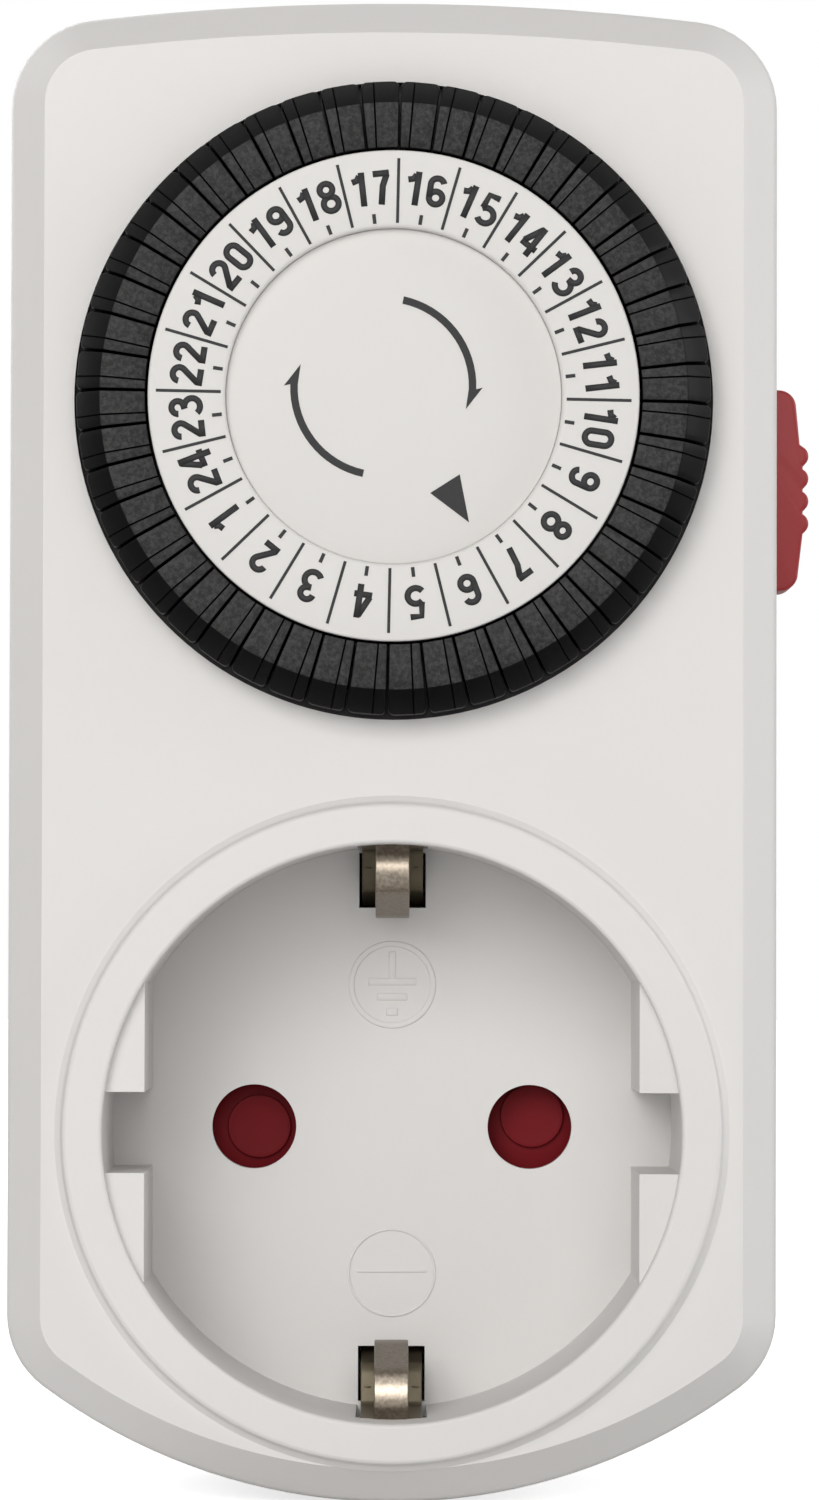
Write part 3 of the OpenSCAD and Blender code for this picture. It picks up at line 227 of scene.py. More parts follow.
def plug_ring(bm, y):
    """The plug's outline: round, with a notch for each key rib and a groove for each contact."""
    before = set(bm.edges)
    radius, notch_x, tongue_z, groove_x, groove_z = 18.9, 16.2, 2.4, 2.6, 15.3
    tongue_x = math.sqrt(radius ** 2 - tongue_z ** 2)
    notch_z = math.sqrt(radius ** 2 - notch_x ** 2)
    groove_top = math.sqrt(radius ** 2 - groove_x ** 2)
    tongue = 2 * math.degrees(math.atan2(tongue_z, tongue_x))
    lobe = 90 - math.degrees(math.atan2(notch_z, notch_x)
                             + math.atan2(groove_x, groove_top))
    first = bm.verts.new((tongue_x, y, -tongue_z))
    end = compass(bm, first, (0, 0), tongue, 4)
    end = ruler(bm, end, notch_x, tongue_z)
    end = ruler(bm, end, notch_x, notch_z)
    end = compass(bm, end, (0, 0), lobe, 16)
    end = ruler(bm, end, groove_x, groove_z)
    end = ruler(bm, end, -groove_x, groove_z)
    end = ruler(bm, end, -groove_x, groove_top)
    end = compass(bm, end, (0, 0), lobe, 16)
    end = ruler(bm, end, -notch_x, tongue_z)
    end = ruler(bm, end, -tongue_x, tongue_z)
    end = compass(bm, end, (0, 0), tongue, 4)
    end = ruler(bm, end, -notch_x, -tongue_z)
    end = ruler(bm, end, -notch_x, -notch_z)
    end = compass(bm, end, (0, 0), lobe, 16)
    end = ruler(bm, end, -groove_x, -groove_z)
    end = ruler(bm, end, groove_x, -groove_z)
    end = ruler(bm, end, groove_x, -groove_top)
    end = compass(bm, end, (0, 0), lobe, 16)
    end = ruler(bm, end, notch_x, -tongue_z)
    bm.edges.new((end, first))
    return [e for e in bm.edges if e not in before]


bm = bmesh.new()
seam = housing_ring(bm, y_seam, 0)
heel = housing_ring(bm, y_heel, 0)
back = housing_ring(bm, y_back, heel_ease)
bmesh.ops.bridge_loops(bm, edges=seam + heel)
bmesh.ops.bridge_loops(bm, edges=heel + back)
plug_foot = plug_ring(bm, y_back)
holes = []
for x in (-corner_x, corner_x):
    for z in (corner_low, corner_top):
        mouth = circle_edges(bm, screw_head_r, y_back, x, z, 32)
        holes += mouth
        seat = pushed(bm, mouth, -screw_head_depth)
        bore = circle_edges(bm, screw_r, y_back - screw_head_depth, x, z, 32)
        bmesh.ops.bridge_loops(bm, edges=seat + bore)
        pushed(bm, bore, -screw_depth)
bmesh.ops.triangle_fill(bm, use_beauty=True, edges=back + plug_foot + holes, normal=(0, 1, 0))

# The plug's face lies at y 0, where the frame begins.
plug_edge = pushed(bm, plug_foot, -y_back)
pin_seats = []
for x in (-pin_x, pin_x):
    mouth = circle_edges(bm, pin_seat_r, 0.0, x)
    pin_seats += mouth
    seat = pushed(bm, mouth, -pin_seat_depth)
    bore = circle_edges(bm, pin_bore_r, -pin_seat_depth, x)
    bmesh.ops.bridge_loops(bm, edges=seat + bore)
bmesh.ops.triangle_fill(bm, use_beauty=True, edges=plug_edge + pin_seats, normal=(0, 1, 0))
ordered(bm)
bmesh.ops.dissolve_limit(bm, angle_limit=0.01, verts=bm.verts, edges=bm.edges)
bmesh.ops.recalc_face_normals(bm, faces=bm.faces)
rear = piece("rear_cover_moulding", bm, "housing", housing_plastic)
walled(rear, thickness=1.4, edge=0.3)
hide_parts("rear_cover")

# ---- Front cover ----
# The front half of the housing: one moulding with a bevelled face, the raised rim and well of
# the socket, two pairs of key ribs, the dial's opening and the slide's slot. It is of the same
# plastic, and the four screws from the back draw the two halves together.

y_face, y_shoulder, face_bevel = -53.0, -50.0, 2.4
y_rim, y_mouth, y_floor = -54.1, -53.1, -36.6
dial_z, dial_hole_r, dial_hole_lip = 48.9, 21.35, 0.8
rim_foot_r, rim_r, well_r = 22.5, 22.0, 19.3
rib_x, rib_gap = 16.5, 2.7

bm = bmesh.new()
seam = housing_ring(bm, y_seam, 0)
shoulder = housing_ring(bm, y_shoulder, 0)
face = housing_ring(bm, y_face, face_bevel)
bmesh.ops.bridge_loops(bm, edges=seam + shoulder)
bmesh.ops.bridge_loops(bm, edges=shoulder + face)

# The slide's slot in the right flank: the flank is cut four times and the middle is taken out.
slot_y, slot_z = (-36.0, -29.8), (32.85, 51.45)
for place, across in (((0, 0, slot_z[0]), (0, 0, 1)), ((0, 0, slot_z[1]), (0, 0, 1)),
                      ((0, slot_y[0], 0), (0, 1, 0)), ((0, slot_y[1], 0), (0, 1, 0))):
    flank = [f for f in bm.faces if all(abs(v.co.x - half_w) < 0.001 for v in f.verts)
             and (across[2] or slot_z[0] < f.calc_center_median().z < slot_z[1])]
    bmesh.ops.bisect_plane(bm, geom=around(flank), plane_co=place, plane_no=across)
window = [f for f in bm.faces if all(abs(v.co.x - half_w) < 0.001 for v in f.verts)
          and slot_z[0] < f.calc_center_median().z < slot_z[1]
          and slot_y[0] < f.calc_center_median().y < slot_y[1]]
bmesh.ops.delete(bm, geom=window, context="FACES_ONLY")

# The rim's profile is turned in eight sweeps, so that it has an edge at every rib's corner.
rib_low = math.degrees(math.asin(rib_gap / well_r))
rib_high = math.degrees(math.acos(rib_x / well_r))
points = [bm.verts.new((x, y, 0)) for x, y in (
    (rim_foot_r, y_face), (rim_r, y_face - 0.4), (rim_r, y_rim), (well_r, y_rim),
    (well_r, y_mouth))]
for pair in zip(points, points[1:]):
    bm.edges.new(pair)
for corner, ease in ((points[1], 0.3), (points[2], 0.35), (points[3], 0.3)):
    bmesh.ops.bevel(bm, geom=[corner], offset=ease, offset_type="OFFSET", segments=4,
                    profile=0.5, affect="VERTICES", material=-1)
corners = [v for v in bm.verts if not v.link_faces]
profile = corners + once(e for v in corners for e in v.link_edges)
bmesh.ops.rotate(bm, cent=(0, 0, 0), verts=corners,
                 matrix=Matrix.Rotation(math.radians(rib_low), 4, "Y"))
sweeps = [(2 * rib_low, 6), (rib_high - rib_low, 8), (180 - 2 * rib_high, 40),
          (rib_high - rib_low, 8)] * 2
for sweep, steps in sweeps:
    made = bmesh.ops.spin(bm, geom=profile, cent=(0, 0, 0), axis=(0, -1, 0), dvec=(0, 0, 0),
                          angle=math.radians(sweep), steps=steps, use_merge=False,
                          use_normal_flip=False, use_duplicate=False)
    profile = made["geom_last"]
bmesh.ops.remove_doubles(bm, verts=bm.verts, dist=0.001)
ordered(bm)


def ring_at(bm, radius, y):
    """The edges of a circle round the socket's axis."""
    return [e for e in along(bm.edges, y)
            if all(abs(math.hypot(v.co.x, v.co.z) - radius) < 0.01 for v in e.verts)]


rims = along(bm.edges, y_face)
opening = circle_edges(bm, dial_hole_r, y_face, 0, dial_z, 144)
bmesh.ops.triangle_fill(bm, use_beauty=True, edges=rims + opening, normal=(0, -1, 0))
pushed(bm, opening, dial_hole_lip)

# The well: its wall follows the mouth's circle, and steps in round the four key ribs.
pocket_x, pocket_y, pocket_depth = 2.4, -49.4, 0.8
mouth = ring_at(bm, well_r, y_mouth)
for x in (-pocket_x, pocket_x):
    parts = once([*mouth, *(v for e in mouth for v in e.verts)])
    bmesh.ops.bisect_plane(bm, geom=parts, plane_co=(x, 0, 0), plane_no=(1, 0, 0))
    mouth = ring_at(bm, well_r, y_mouth)
rib_ends, wall = [], []
for e in mouth:
    middle = (e.verts[0].co + e.verts[1].co) / 2
    bearing = math.degrees(math.atan2(abs(middle.z), abs(middle.x)))
    (rib_ends if rib_low < bearing < rib_high else wall).append(e)
for sx in (-1, 1):
    for sz in (-1, 1):
        arc = [e for e in rib_ends if e.verts[0].co.x * sx > 0 and e.verts[0].co.z * sz > 0]
        ends = [v for v in once(v for e in arc for v in e.verts)
                if sum(v in e.verts for e in arc) == 1]
        inner = bm.verts.new((sx * rib_x, y_mouth, sz * rib_gap))
        step = [bm.edges.new((inner, v)) for v in ends]
        bmesh.ops.contextual_create(bm, geom=arc + step)
        wall += step
floor_ring = pushed(bm, wall, y_floor - y_mouth)

# Above and below, the earth fingers lie in a pocket of the wall.
for sz in (-1, 1):
    strip = [f for f in bm.faces if f.calc_center_median().z * sz > 0
             and y_mouth < f.calc_center_median().y < y_floor
             and abs(f.calc_center_median().x) < pocket_x
             and all(v.co.y < y_floor + 0.001 for v in f.verts)]
    made = bmesh.ops.bisect_plane(bm, geom=around(strip), plane_co=(0, pocket_y, 0),
                                  plane_no=(0, 1, 0))["geom"]
    pocket = [f for f in made if isinstance(f, bmesh.types.BMFace)
              and f.calc_center_median().y > pocket_y]
    made = bmesh.ops.extrude_face_region(bm, geom=pocket)["geom"]
    bmesh.ops.translate(bm, vec=(0, 0, sz * pocket_depth),
                        verts=[g for g in made if isinstance(g, bmesh.types.BMVert)])
    bmesh.ops.delete(bm, geom=[f for f in pocket if f.is_valid], context="FACES")

# The floor is drawn in four quarters, which meet on the lines between its holes.
pin_r, slot_x, slot_in, slot_out, floor_lip = 2.9, 2.3, 15.1, 18.9, 1.2
floor_holes = []
for x in (-pin_x, pin_x):
    floor_holes += circle_edges(bm, pin_r, y_floor, x, 0, 60)
for sz in (-1, 1):
    first = bm.verts.new((0, y_floor, sz * slot_in))
    end, outline = first, []
    for x, z in ((slot_x, slot_in), (slot_x, slot_out), (0, slot_out), (-slot_x, slot_out),
                 (-slot_x, slot_in)):
        end = ruler(bm, end, x, sz * z)
        outline += end.link_edges
    floor_holes += [*outline, bm.edges.new((end, first))]


def floor_vert(x, z):
    """The floor's vertex nearest to (x, z)."""
    return min(once(v for e in floor_ring + floor_holes for v in e.verts),
               key=lambda v: math.hypot(v.co.x - x, v.co.z - z))


centre = bm.verts.new((0, y_floor, 0))
seams = []
for s in (-1, 1):
    seams += [bm.edges.new((floor_vert(s * well_r, 0), floor_vert(s * (pin_x + pin_r), 0))),
              bm.edges.new((floor_vert(s * (pin_x - pin_r), 0), centre)),
              bm.edges.new((centre, floor_vert(0, s * slot_in))),
              bm.edges.new((floor_vert(0, s * slot_out), floor_vert(0, s * well_r)))]
for sx in (-1, 1):
    for sz in (-1, 1):
        quarter = [e for e in floor_ring + floor_holes + seams
                   if all(v.co.x * sx > -0.001 and v.co.z * sz > -0.001 for v in e.verts)]
        bmesh.ops.contextual_create(bm, geom=quarter)
pushed(bm, floor_holes, floor_lip)
ordered(bm)
bmesh.ops.dissolve_limit(bm, angle_limit=0.01,
                         verts=[v for v in bm.verts if abs(v.co.y - y_floor) > 0.001],
                         edges=[e for e in bm.edges if not along([e], y_floor)])
bmesh.ops.recalc_face_normals(bm, faces=bm.faces)
ordered(bm)
shoulder_edges = [e for e in along(bm.edges, y_shoulder) if len(e.link_faces) == 2
                  and e.calc_face_angle(0) > 0.3]
rounded(bm, shoulder_edges, 0.5, 4)
face_edges = [e for e in along(bm.edges, y_face) if len(e.link_faces) == 2
              and e.calc_face_angle(0) > 0.5
              and math.hypot(e.verts[0].co.x, e.verts[0].co.z) > rim_foot_r + 0.1
              and math.hypot(e.verts[0].co.x, e.verts[0].co.z - dial_z) > dial_hole_r + 0.1]
rounded(bm, face_edges, 0.35, 3)
front = piece("front_cover_moulding", bm, "housing", housing_plastic)
walled(front, thickness=1.2, edge=0.18)
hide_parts("front_cover")


def turned(points, x=0.0, z=0.0, steps=96):
    """Turns a profile of (radius, y, easing) round an axis along Y."""
    bm = bmesh.new()
    verts = [bm.verts.new((r, y, 0)) for r, y, _ in points]
    for pair in zip(verts, verts[1:]):
        bm.edges.new(pair)
    if points[0][0] > 0.001:
        bm.edges.new((verts[-1], verts[0]))
    for vert, (_, _, ease) in zip(verts, points):
        if ease:
            bmesh.ops.bevel(bm, geom=[vert], offset=ease, offset_type="OFFSET", segments=3,
                            profile=0.5, affect="VERTICES", material=-1)
    bmesh.ops.spin(bm, geom=list(bm.verts) + list(bm.edges), cent=(0, 0, 0), axis=(0, -1, 0),
                   dvec=(0, 0, 0), angle=2 * math.pi, steps=steps, use_merge=True,
                   use_normal_flip=False, use_duplicate=False)
    bmesh.ops.remove_doubles(bm, verts=bm.verts, dist=0.0005)
    bmesh.ops.translate(bm, vec=(x, 0, z), verts=bm.verts)
    bmesh.ops.recalc_face_normals(bm, faces=bm.faces)
    return bm


def joined(bm, part):
    """Adds a finished mesh to another one."""
    mesh = bpy.data.meshes.new("part")
    part.to_mesh(mesh)
    part.free()
    bm.from_mesh(mesh)
    bpy.data.meshes.remove(mesh)


# Marks raised from the well's floor: the common earth sign, and a plain ring with a bar.
bm = bmesh.new()
mark_rise, mark_ease = 0.1, 0.06
for z, inner, outer in ((9.8, 2.62, 3.02), (-10.05, 2.88, 3.06)):
    joined(bm, turned([(inner, y_floor - mark_rise, mark_ease),
                       (outer, y_floor - mark_rise, mark_ease),
                       (outer, y_floor + mark_rise, 0), (inner, y_floor + mark_rise, 0)], 0, z))
for z, width, height in ((11.1, 0.48, 1.95), (10.0, 3.3, 0.48), (8.95, 2.06, 0.48),
                         (7.92, 0.8, 0.5), (-9.95, 4.8, 0.18)):
    bar = bmesh.ops.create_cube(bm, size=1, matrix=Matrix.Translation((0, y_floor, z))
                                @ Matrix.Diagonal((width, 2 * mark_rise, height, 1)))
    rounded(bm, [e for e in once(e for v in bar["verts"] for e in v.link_edges)
                 if all(v.co.y < y_floor for v in e.verts)], mark_ease, 2)
piece("well_marks", bm, "housing", housing_plastic)

# ---- Dial ----
# The turning part of the dial: a black carrier with a gear, and a white printed number ring on
# it. The white centre disc stays still, because its stem sits in the plate's fixed post. The
# ring and the disc are matt polystyrene.

black_plastic = moulded("black_plastic", (0.012, 0.012, 0.013), 0.42, 0.1, 0.3, 0.01)
white_plastic = moulded("white_plastic", (0.64, 0.63, 0.615), 0.6, 0.01, 0.3, 0.006)
y_ring, y_ring_back, ring_in, ring_out = -57.37, -56.4, 11.16, 16.3
y_disc, y_disc_back, y_disc_stem, disc_r, disc_stem_r = -56.6, -55.4, -50.4, 11.15, 1.45

bm = turned([(ring_in, y_ring, 0.3), (ring_out, y_ring, 0.15), (ring_out, y_ring_back, 0),
             (ring_in, y_ring_back, 0)], 0, dial_z, 192)
ring = piece("number_ring_moulding", bm, "dial", white_plastic)
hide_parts("number_ring")

bm = turned([(0, y_disc, 0), (disc_r, y_disc, 0.1), (disc_r, y_disc_back, 0),
             (disc_stem_r, y_disc_back, 0), (disc_stem_r, y_disc_stem, 0.2),
             (0, y_disc_stem, 0)], 0, dial_z, 160)
disc = piece("centre_disc_moulding", bm, "housing", white_plastic)
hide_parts("centre_disc")

# ---- Print on the dial ----
# Dark ink, pad printed: the numbers and the hours' lines on the ring, and on the disc two
# arrows for the way it is turned and a pointer to the time. Each print is a thin film.

ink = moulded("dark_ink", (0.012, 0.012, 0.013), 0.7, 0.15, 0.15, 0.004)
film_t, film_bite = 0.03, 0.005


def clockwise(angle):
    """Turns a drawing about the dial's axis, clockwise from the front."""
    about = Matrix.Translation((0, 0, dial_z))
    return about @ Matrix.Rotation(math.radians(angle), 4, "Y") @ about.inverted()


def film(bm, outline, y):
    """A closed thin film on the surface at y, from an outline of (x, z)."""
    verts = [bm.verts.new((x, y + film_bite, z)) for x, z in outline]
    face = bm.faces.new(verts)
    made = bmesh.ops.extrude_face_region(bm, geom=[face])["geom"]
    top = [g for g in made if isinstance(g, bmesh.types.BMVert)]
    bmesh.ops.translate(bm, vec=(0, -film_t, 0), verts=top)
    return verts + top


# A digit is drawn in strokes in a box 0.56 wide and 1 high. A pair is the end of a straight
# stroke, and three numbers are an arc: its centre and how far it turns.
DIGITS = {
    "0": [((0.09, 0.70), (0.28, 0.70, -180), (0.47, 0.30), (0.28, 0.30, -180), (0.09, 0.70))],
    "1": [((0.36, 0.0), (0.36, 1.0)), ((0.08, 0.73), (0.22, 0.77), (0.30, 0.90))],
    "2": [((0.09, 0.70), (0.28, 0.70, -215), (0.10, 0.13)), ((0.03, 0.085), (0.50, 0.085))],
    "3": [((0.10, 0.72), (0.28, 0.725, -255), (0.22, 0.53)),
          ((0.24, 0.53), (0.27, 0.30, -245))],
    "4": [((0.37, 0.0), (0.37, 1.0)), ((0.34, 0.94), (0.08, 0.36)),
          ((0.02, 0.30), (0.53, 0.30))],
    "5": [((0.49, 0.915), (0.17, 0.915), (0.13, 0.50)), ((0.115, 0.47), (0.28, 0.31, -283))],
    "6": [((0.462, 0.75), (0.28, 0.70, 164.6), (0.09, 0.31)),
          ((0.09, 0.31), (0.28, 0.31, 360))],
    "7": [((0.05, 0.915), (0.51, 0.915)), ((0.44, 0.87), (0.30, 0.55), (0.21, 0.0))],
    "8": [((0.28, 0.555), (0.28, 0.735, 360)), ((0.28, 0.09), (0.28, 0.30, 360))],
    "9": [((0.098, 0.25), (0.28, 0.30, 164.6), (0.47, 0.69)),
          ((0.47, 0.69), (0.28, 0.69, 360))],
}


def digits(bm, text, height):
    """Draws a number's strokes, centred on the Y axis and facing the front: gives its vertices."""
    made = []
    for place, digit in enumerate(text):
        for layer, (start, *moves) in enumerate(DIGITS[digit]):
            drawn = set(bm.verts)
            end = bm.verts.new((start[0], 0, start[1]))
            for move in moves:
                end = ruler(bm, end, *move) if len(move) == 2 else \
                    compass(bm, end, move[:2], move[2], round(4 + abs(move[2]) / 15))
            stroke = [v for v in bm.verts if v not in drawn]
            bmesh.ops.remove_doubles(bm, verts=stroke, dist=0.002)
            stroke = [v for v in bm.verts if v not in drawn]
            bmesh.ops.translate(bm, vec=(0.64 * (place - len(text) / 2) + 0.04, layer * 0.004,
                                         -0.5), verts=stroke)
            made += stroke
    bmesh.ops.scale(bm, vec=(1.04 * height, 1, height), verts=made)
    edges = once(e for v in made for e in v.link_edges)
    deep = bmesh.ops.extrude_edge_only(bm, edges=edges)["geom"]
    deep = [g for g in deep if isinstance(g, bmesh.types.BMVert)]
    bmesh.ops.translate(bm, vec=(0, -film_t, 0), verts=deep)
    return made + deep


# The line between the hours 16 and 17 stands nearly upright, and clockwise from there the hours
# count down.
dial_phase, hour_turn, upright_hour = 1.1, 15, 16
number_height, number_r, stroke_w = 2.26, 13.8, 0.42
bm = bmesh.new()
for hour in range(1, 25):
    made = digits(bm, str(hour), number_height)
    bmesh.ops.translate(bm, vec=(0, y_ring + film_bite, dial_z + number_r), verts=made)
    turn = dial_phase + (upright_hour - hour + 0.5) * hour_turn
    bmesh.ops.transform(bm, matrix=clockwise(turn), verts=made)
numbers = piece("number_print", bm, "dial", ink)
stroke = numbers.modifiers.new("stroke", "SOLIDIFY")
stroke.thickness = stroke_w * MM
stroke.offset = 0

line_in, hour_line, half_hour_tick = 11.45, (15.75, 0.1), (12.1, 0.12)
bm = bmesh.new()
for i in range(48):
    line_out, half = half_hour_tick if i % 2 else hour_line
    made = film(bm, [(-half, dial_z + line_in), (half, dial_z + line_in),
                     (half, dial_z + line_out), (-half, dial_z + line_out)], y_ring)
    bmesh.ops.transform(bm, matrix=clockwise(dial_phase + i * hour_turn / 2), verts=made)
bmesh.ops.recalc_face_normals(bm, faces=bm.faces)
piece("line_print", bm, "dial", ink)

# An arrow is an arc of even width, and its pointed head has one barb, on the outside. The lower
# one is the upper one turned by a half, and set a little aside.
arrow_out, arrow_in, arrow_tail, arrow_step = 6.08, 5.58, 12, 5
arrow_x, arrow_z = -0.6, 0.7
arrow = [(arrow_out, arrow_tail + arrow_step * i) for i in range(17)]
arrow += [(6.50, 91), (5.60, 106)]
arrow += [(arrow_in, arrow_tail + arrow_step * i) for i in range(16, -1, -1)]
outline = [(arrow_x + r * math.sin(math.radians(a)),
            dial_z + arrow_z + r * math.cos(math.radians(a))) for r, a in arrow]
bm = bmesh.new()
for half_turn, aside, up in ((0, 0, 0), (180, -1.39, 1.28)):
    made = film(bm, outline, y_disc)
    bmesh.ops.transform(bm, matrix=Matrix.Translation((aside, 0, up)) @ clockwise(half_turn),
                        verts=made)
pointer = [(2.43, -6.42), (4.39, -5.17), (5.02, -8.37)]
film(bm, [(x, dial_z + z) for x, z in pointer], y_disc)
bmesh.ops.triangulate(bm, faces=bm.faces)
bmesh.ops.recalc_face_normals(bm, faces=bm.faces)
piece("disc_print", bm, "housing", ink)

# ---- Trippers ----
# The forty-eight black trippers, one to the half hour. Each is a wedge of nylon on a flat stem,
# moulded with a chamfered outer end and a fine parting groove, and it is pressed in by hand.


def frontness(material, start, full, least=0.0):
    """How squarely a face looks forwards: least where its normal's y is start, and 1 at full."""
    nodes, links = material.node_tree.nodes, material.node_tree.links
    facing = nodes.new("ShaderNodeNewGeometry")
    axes = nodes.new("ShaderNodeSeparateXYZ")
    links.new(facing.outputs["Normal"], axes.inputs["Vector"])
    front = nodes.new("ShaderNodeMapRange")
    front.inputs["From Min"].default_value = start
    front.inputs["From Max"].default_value = full
    front.inputs["To Min"].default_value = least
    links.new(axes.outputs["Y"], front.inputs["Value"])
    return front.outputs["Result"]


def toned(material, noise, *stops):
    """Colours a noise between two stops of (position, colour)."""
    nodes, links = material.node_tree.nodes, material.node_tree.links
    ramp = nodes.new("ShaderNodeValToRGB")
    for element, (position, colour) in zip(ramp.color_ramp.elements, stops):
        element.position = position
        element.color = (*colour, 1)
    links.new(noise.outputs["Fac"], ramp.inputs["Fac"])
    return ramp.outputs["Color"]


def scuffed(name, polished, sheen_level):
    """A black nylon, polished on its slopes, with a painted sheen of mottled grey on the faces
    that look forwards.
    """
    material = moulded(name, (polished, polished, polished), 0.36, 0.2, 0.25, 0.012)
    nodes, links = material.node_tree.nodes, material.node_tree.links
    shader = nodes["Principled BSDF"]
    shader.inputs["Specular IOR Level"].default_value = 0.07
    # The grey on the faces that look forwards is a painted sheen, and the noise mottles it.
    sheen_mottle = speckle(material, 0.3, 8)
    sheen_mottle.inputs["Roughness"].default_value = 0.75
    grey = toned(material, sheen_mottle, (0.42, (sheen_level * 0.6,) * 3), (0.62, (sheen_level * 1.5,) * 3))
    mix = nodes.new("ShaderNodeMix")
    mix.data_type = "RGBA"
    links.new(frontness(material, -0.86, -0.97), mix.inputs["Factor"])
    links.new(shader.inputs["Base Color"].links[0].from_socket, mix.inputs["A"])
    links.new(grey, mix.inputs["B"])
    links.new(mix.outputs["Result"], shader.inputs["Base Color"])
    return material


tripper_nylon = scuffed("tripper_nylon", 0.0025, 0.032)
head_in, head_flat, head_out, head_drop = 16.48, 19.5, 21.1, 1.9
y_head, y_head_back, y_stem_end = -57.4, -52.7, -47.6
stem_r, stem_w, stem_t, stem_bite = 18.65, 1.2, 2.1, 0.4
groove_x, groove_half, groove_depth = -0.42, 0.06, 0.13
head_gap = 0.2
head_turn = hour_turn / 2 - math.degrees(head_gap / head_out)

bm = bmesh.new()
corners = [bm.verts.new((r, y, 0)) for r, y in (
    (head_in, y_head), (head_flat, y_head), (head_out, y_head + head_drop),
    (head_out, y_head_back), (head_in, y_head_back))]
bm.faces.new(corners)
bmesh.ops.rotate(bm, cent=(0, 0, 0), matrix=Matrix.Rotation(
    -math.radians(90 - head_turn / 2), 4, "Y"), verts=bm.verts)
bmesh.ops.spin(bm, geom=list(bm.verts) + list(bm.edges) + list(bm.faces), cent=(0, 0, 0),
               axis=(0, -1, 0), dvec=(0, 0, 0), angle=math.radians(head_turn), steps=5,
               use_merge=False, use_normal_flip=False, use_duplicate=False)
bmesh.ops.remove_doubles(bm, verts=bm.verts, dist=0.001)
bmesh.ops.recalc_face_normals(bm, faces=bm.faces)
tips = [e for e in bm.edges if len(e.link_faces) == 2 and e.calc_face_angle(0) > 1.0
        and all(math.hypot(v.co.x, v.co.z) > head_out - 0.01 for v in e.verts)
        and abs(e.verts[0].co.y - e.verts[1].co.y) > 1]
rounded(bm, tips, 0.35, 4)
rest = [e for e in bm.edges if len(e.link_faces) == 2 and e.calc_face_angle(0) > 0.45]
rounded(bm, rest, 0.07, 2)
for offset in (-groove_half, 0, groove_half):
    bmesh.ops.bisect_plane(bm, geom=list(bm.verts) + list(bm.edges) + list(bm.faces),
                           plane_co=(groove_x + offset, 0, 0), plane_no=(1, 0, 0))
bm.normal_update()
for v in bm.verts:
    if abs(v.co.x - groove_x) < 0.001 and v.normal.y < -0.3:
        v.co.y += groove_depth
bmesh.ops.create_cube(bm, size=1, matrix=Matrix.Translation(
    (0, (y_head_back - stem_bite + y_stem_end) / 2, stem_r))
    @ Matrix.Diagonal((stem_w, y_stem_end - y_head_back + stem_bite, stem_t, 1)))
bmesh.ops.translate(bm, vec=(0, 0, dial_z), verts=bm.verts)
head_mesh = bpy.data.meshes.new("tripper_head")
bm.to_mesh(head_mesh)
bm.free()
for hour in range(1, 25):
    first = 2 * ((upright_hour - hour) % 24)
    bm = bmesh.new()
    for i in (first, first + 1):
        before = set(bm.verts)
        bm.from_mesh(head_mesh)
        made = [v for v in bm.verts if v not in before]
        bmesh.ops.transform(bm, matrix=clockwise(dial_phase + (i + 0.5) * hour_turn / 2),
                            verts=made)
    name = f"tripper_hour_{hour:02d}"
    pair = piece(name + "_moulding", bm, name, tripper_nylon)
    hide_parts(name)
bpy.data.meshes.remove(head_mesh)

# ---- Override slide ----
# The dark red slide in the right flank, which switches the socket on by hand. It is one nylon
# moulding: a ribbed thumb piece outside, and a flat plate that runs in a rail inside.

red_plastic = moulded("red_plastic", (0.30, 0.010, 0.013), 0.45, 0.06, 0.35, 0.01)
knob_low, knob_high, knob_middle, knob_ease = 37.15, 51.08, 44.15, 1.2
knob_flat, knob_valley, tooth_top, tooth_pitch, tooth_half = 28.05, 28.38, 28.78, 1.56, 0.66
knob_foot, y_knob, knob_depth = 23.0, -35.9, 6.0
flat_step, flat_rise, flat_fall = 0.15, 0.12, 0.13
tooth_rise = tooth_top - knob_valley
tooth_r = (tooth_half ** 2 + tooth_rise ** 2) / (2 * tooth_rise)
tooth_turn = 2 * math.degrees(math.asin(tooth_half / tooth_r))

bm = bmesh.new()
end = first = bm.verts.new((knob_foot, y_knob, knob_low))
end = ruler(bm, end, knob_flat - knob_ease, knob_low)
end = compass(bm, end, (knob_flat - knob_ease, knob_low + knob_ease), 90, 8)
for i in range(4):
    middle = knob_middle + tooth_pitch * (i - 1.5)
    end = ruler(bm, end, knob_valley, middle - tooth_half)
    end = compass(bm, end, (tooth_top - tooth_r, middle), tooth_turn, 8)
end = ruler(bm, end, knob_flat + flat_rise, end.co.z + flat_step)
end = ruler(bm, end, knob_flat - flat_fall, knob_high - knob_ease)
end = compass(bm, end, (knob_flat - flat_fall - knob_ease, knob_high - knob_ease), 90, 8)
end = ruler(bm, end, knob_foot, knob_high)
bm.edges.new((end, first))
outline = bmesh.ops.contextual_create(bm, geom=list(bm.edges))["faces"]
deep = bmesh.ops.extrude_face_region(bm, geom=outline)["geom"]
bmesh.ops.translate(bm, vec=(0, knob_depth, 0),
                    verts=[g for g in deep if isinstance(g, bmesh.types.BMVert)])
bmesh.ops.recalc_face_normals(bm, faces=bm.faces)
rims = [e for e in bm.edges if len(e.link_faces) == 2 and e.calc_face_angle(0) > 1.2
        and abs(e.verts[0].co.y - e.verts[1].co.y) < 0.01
        and min(v.co.x for v in e.verts) > knob_foot]
rounded(bm, rims, 0.35, 3)

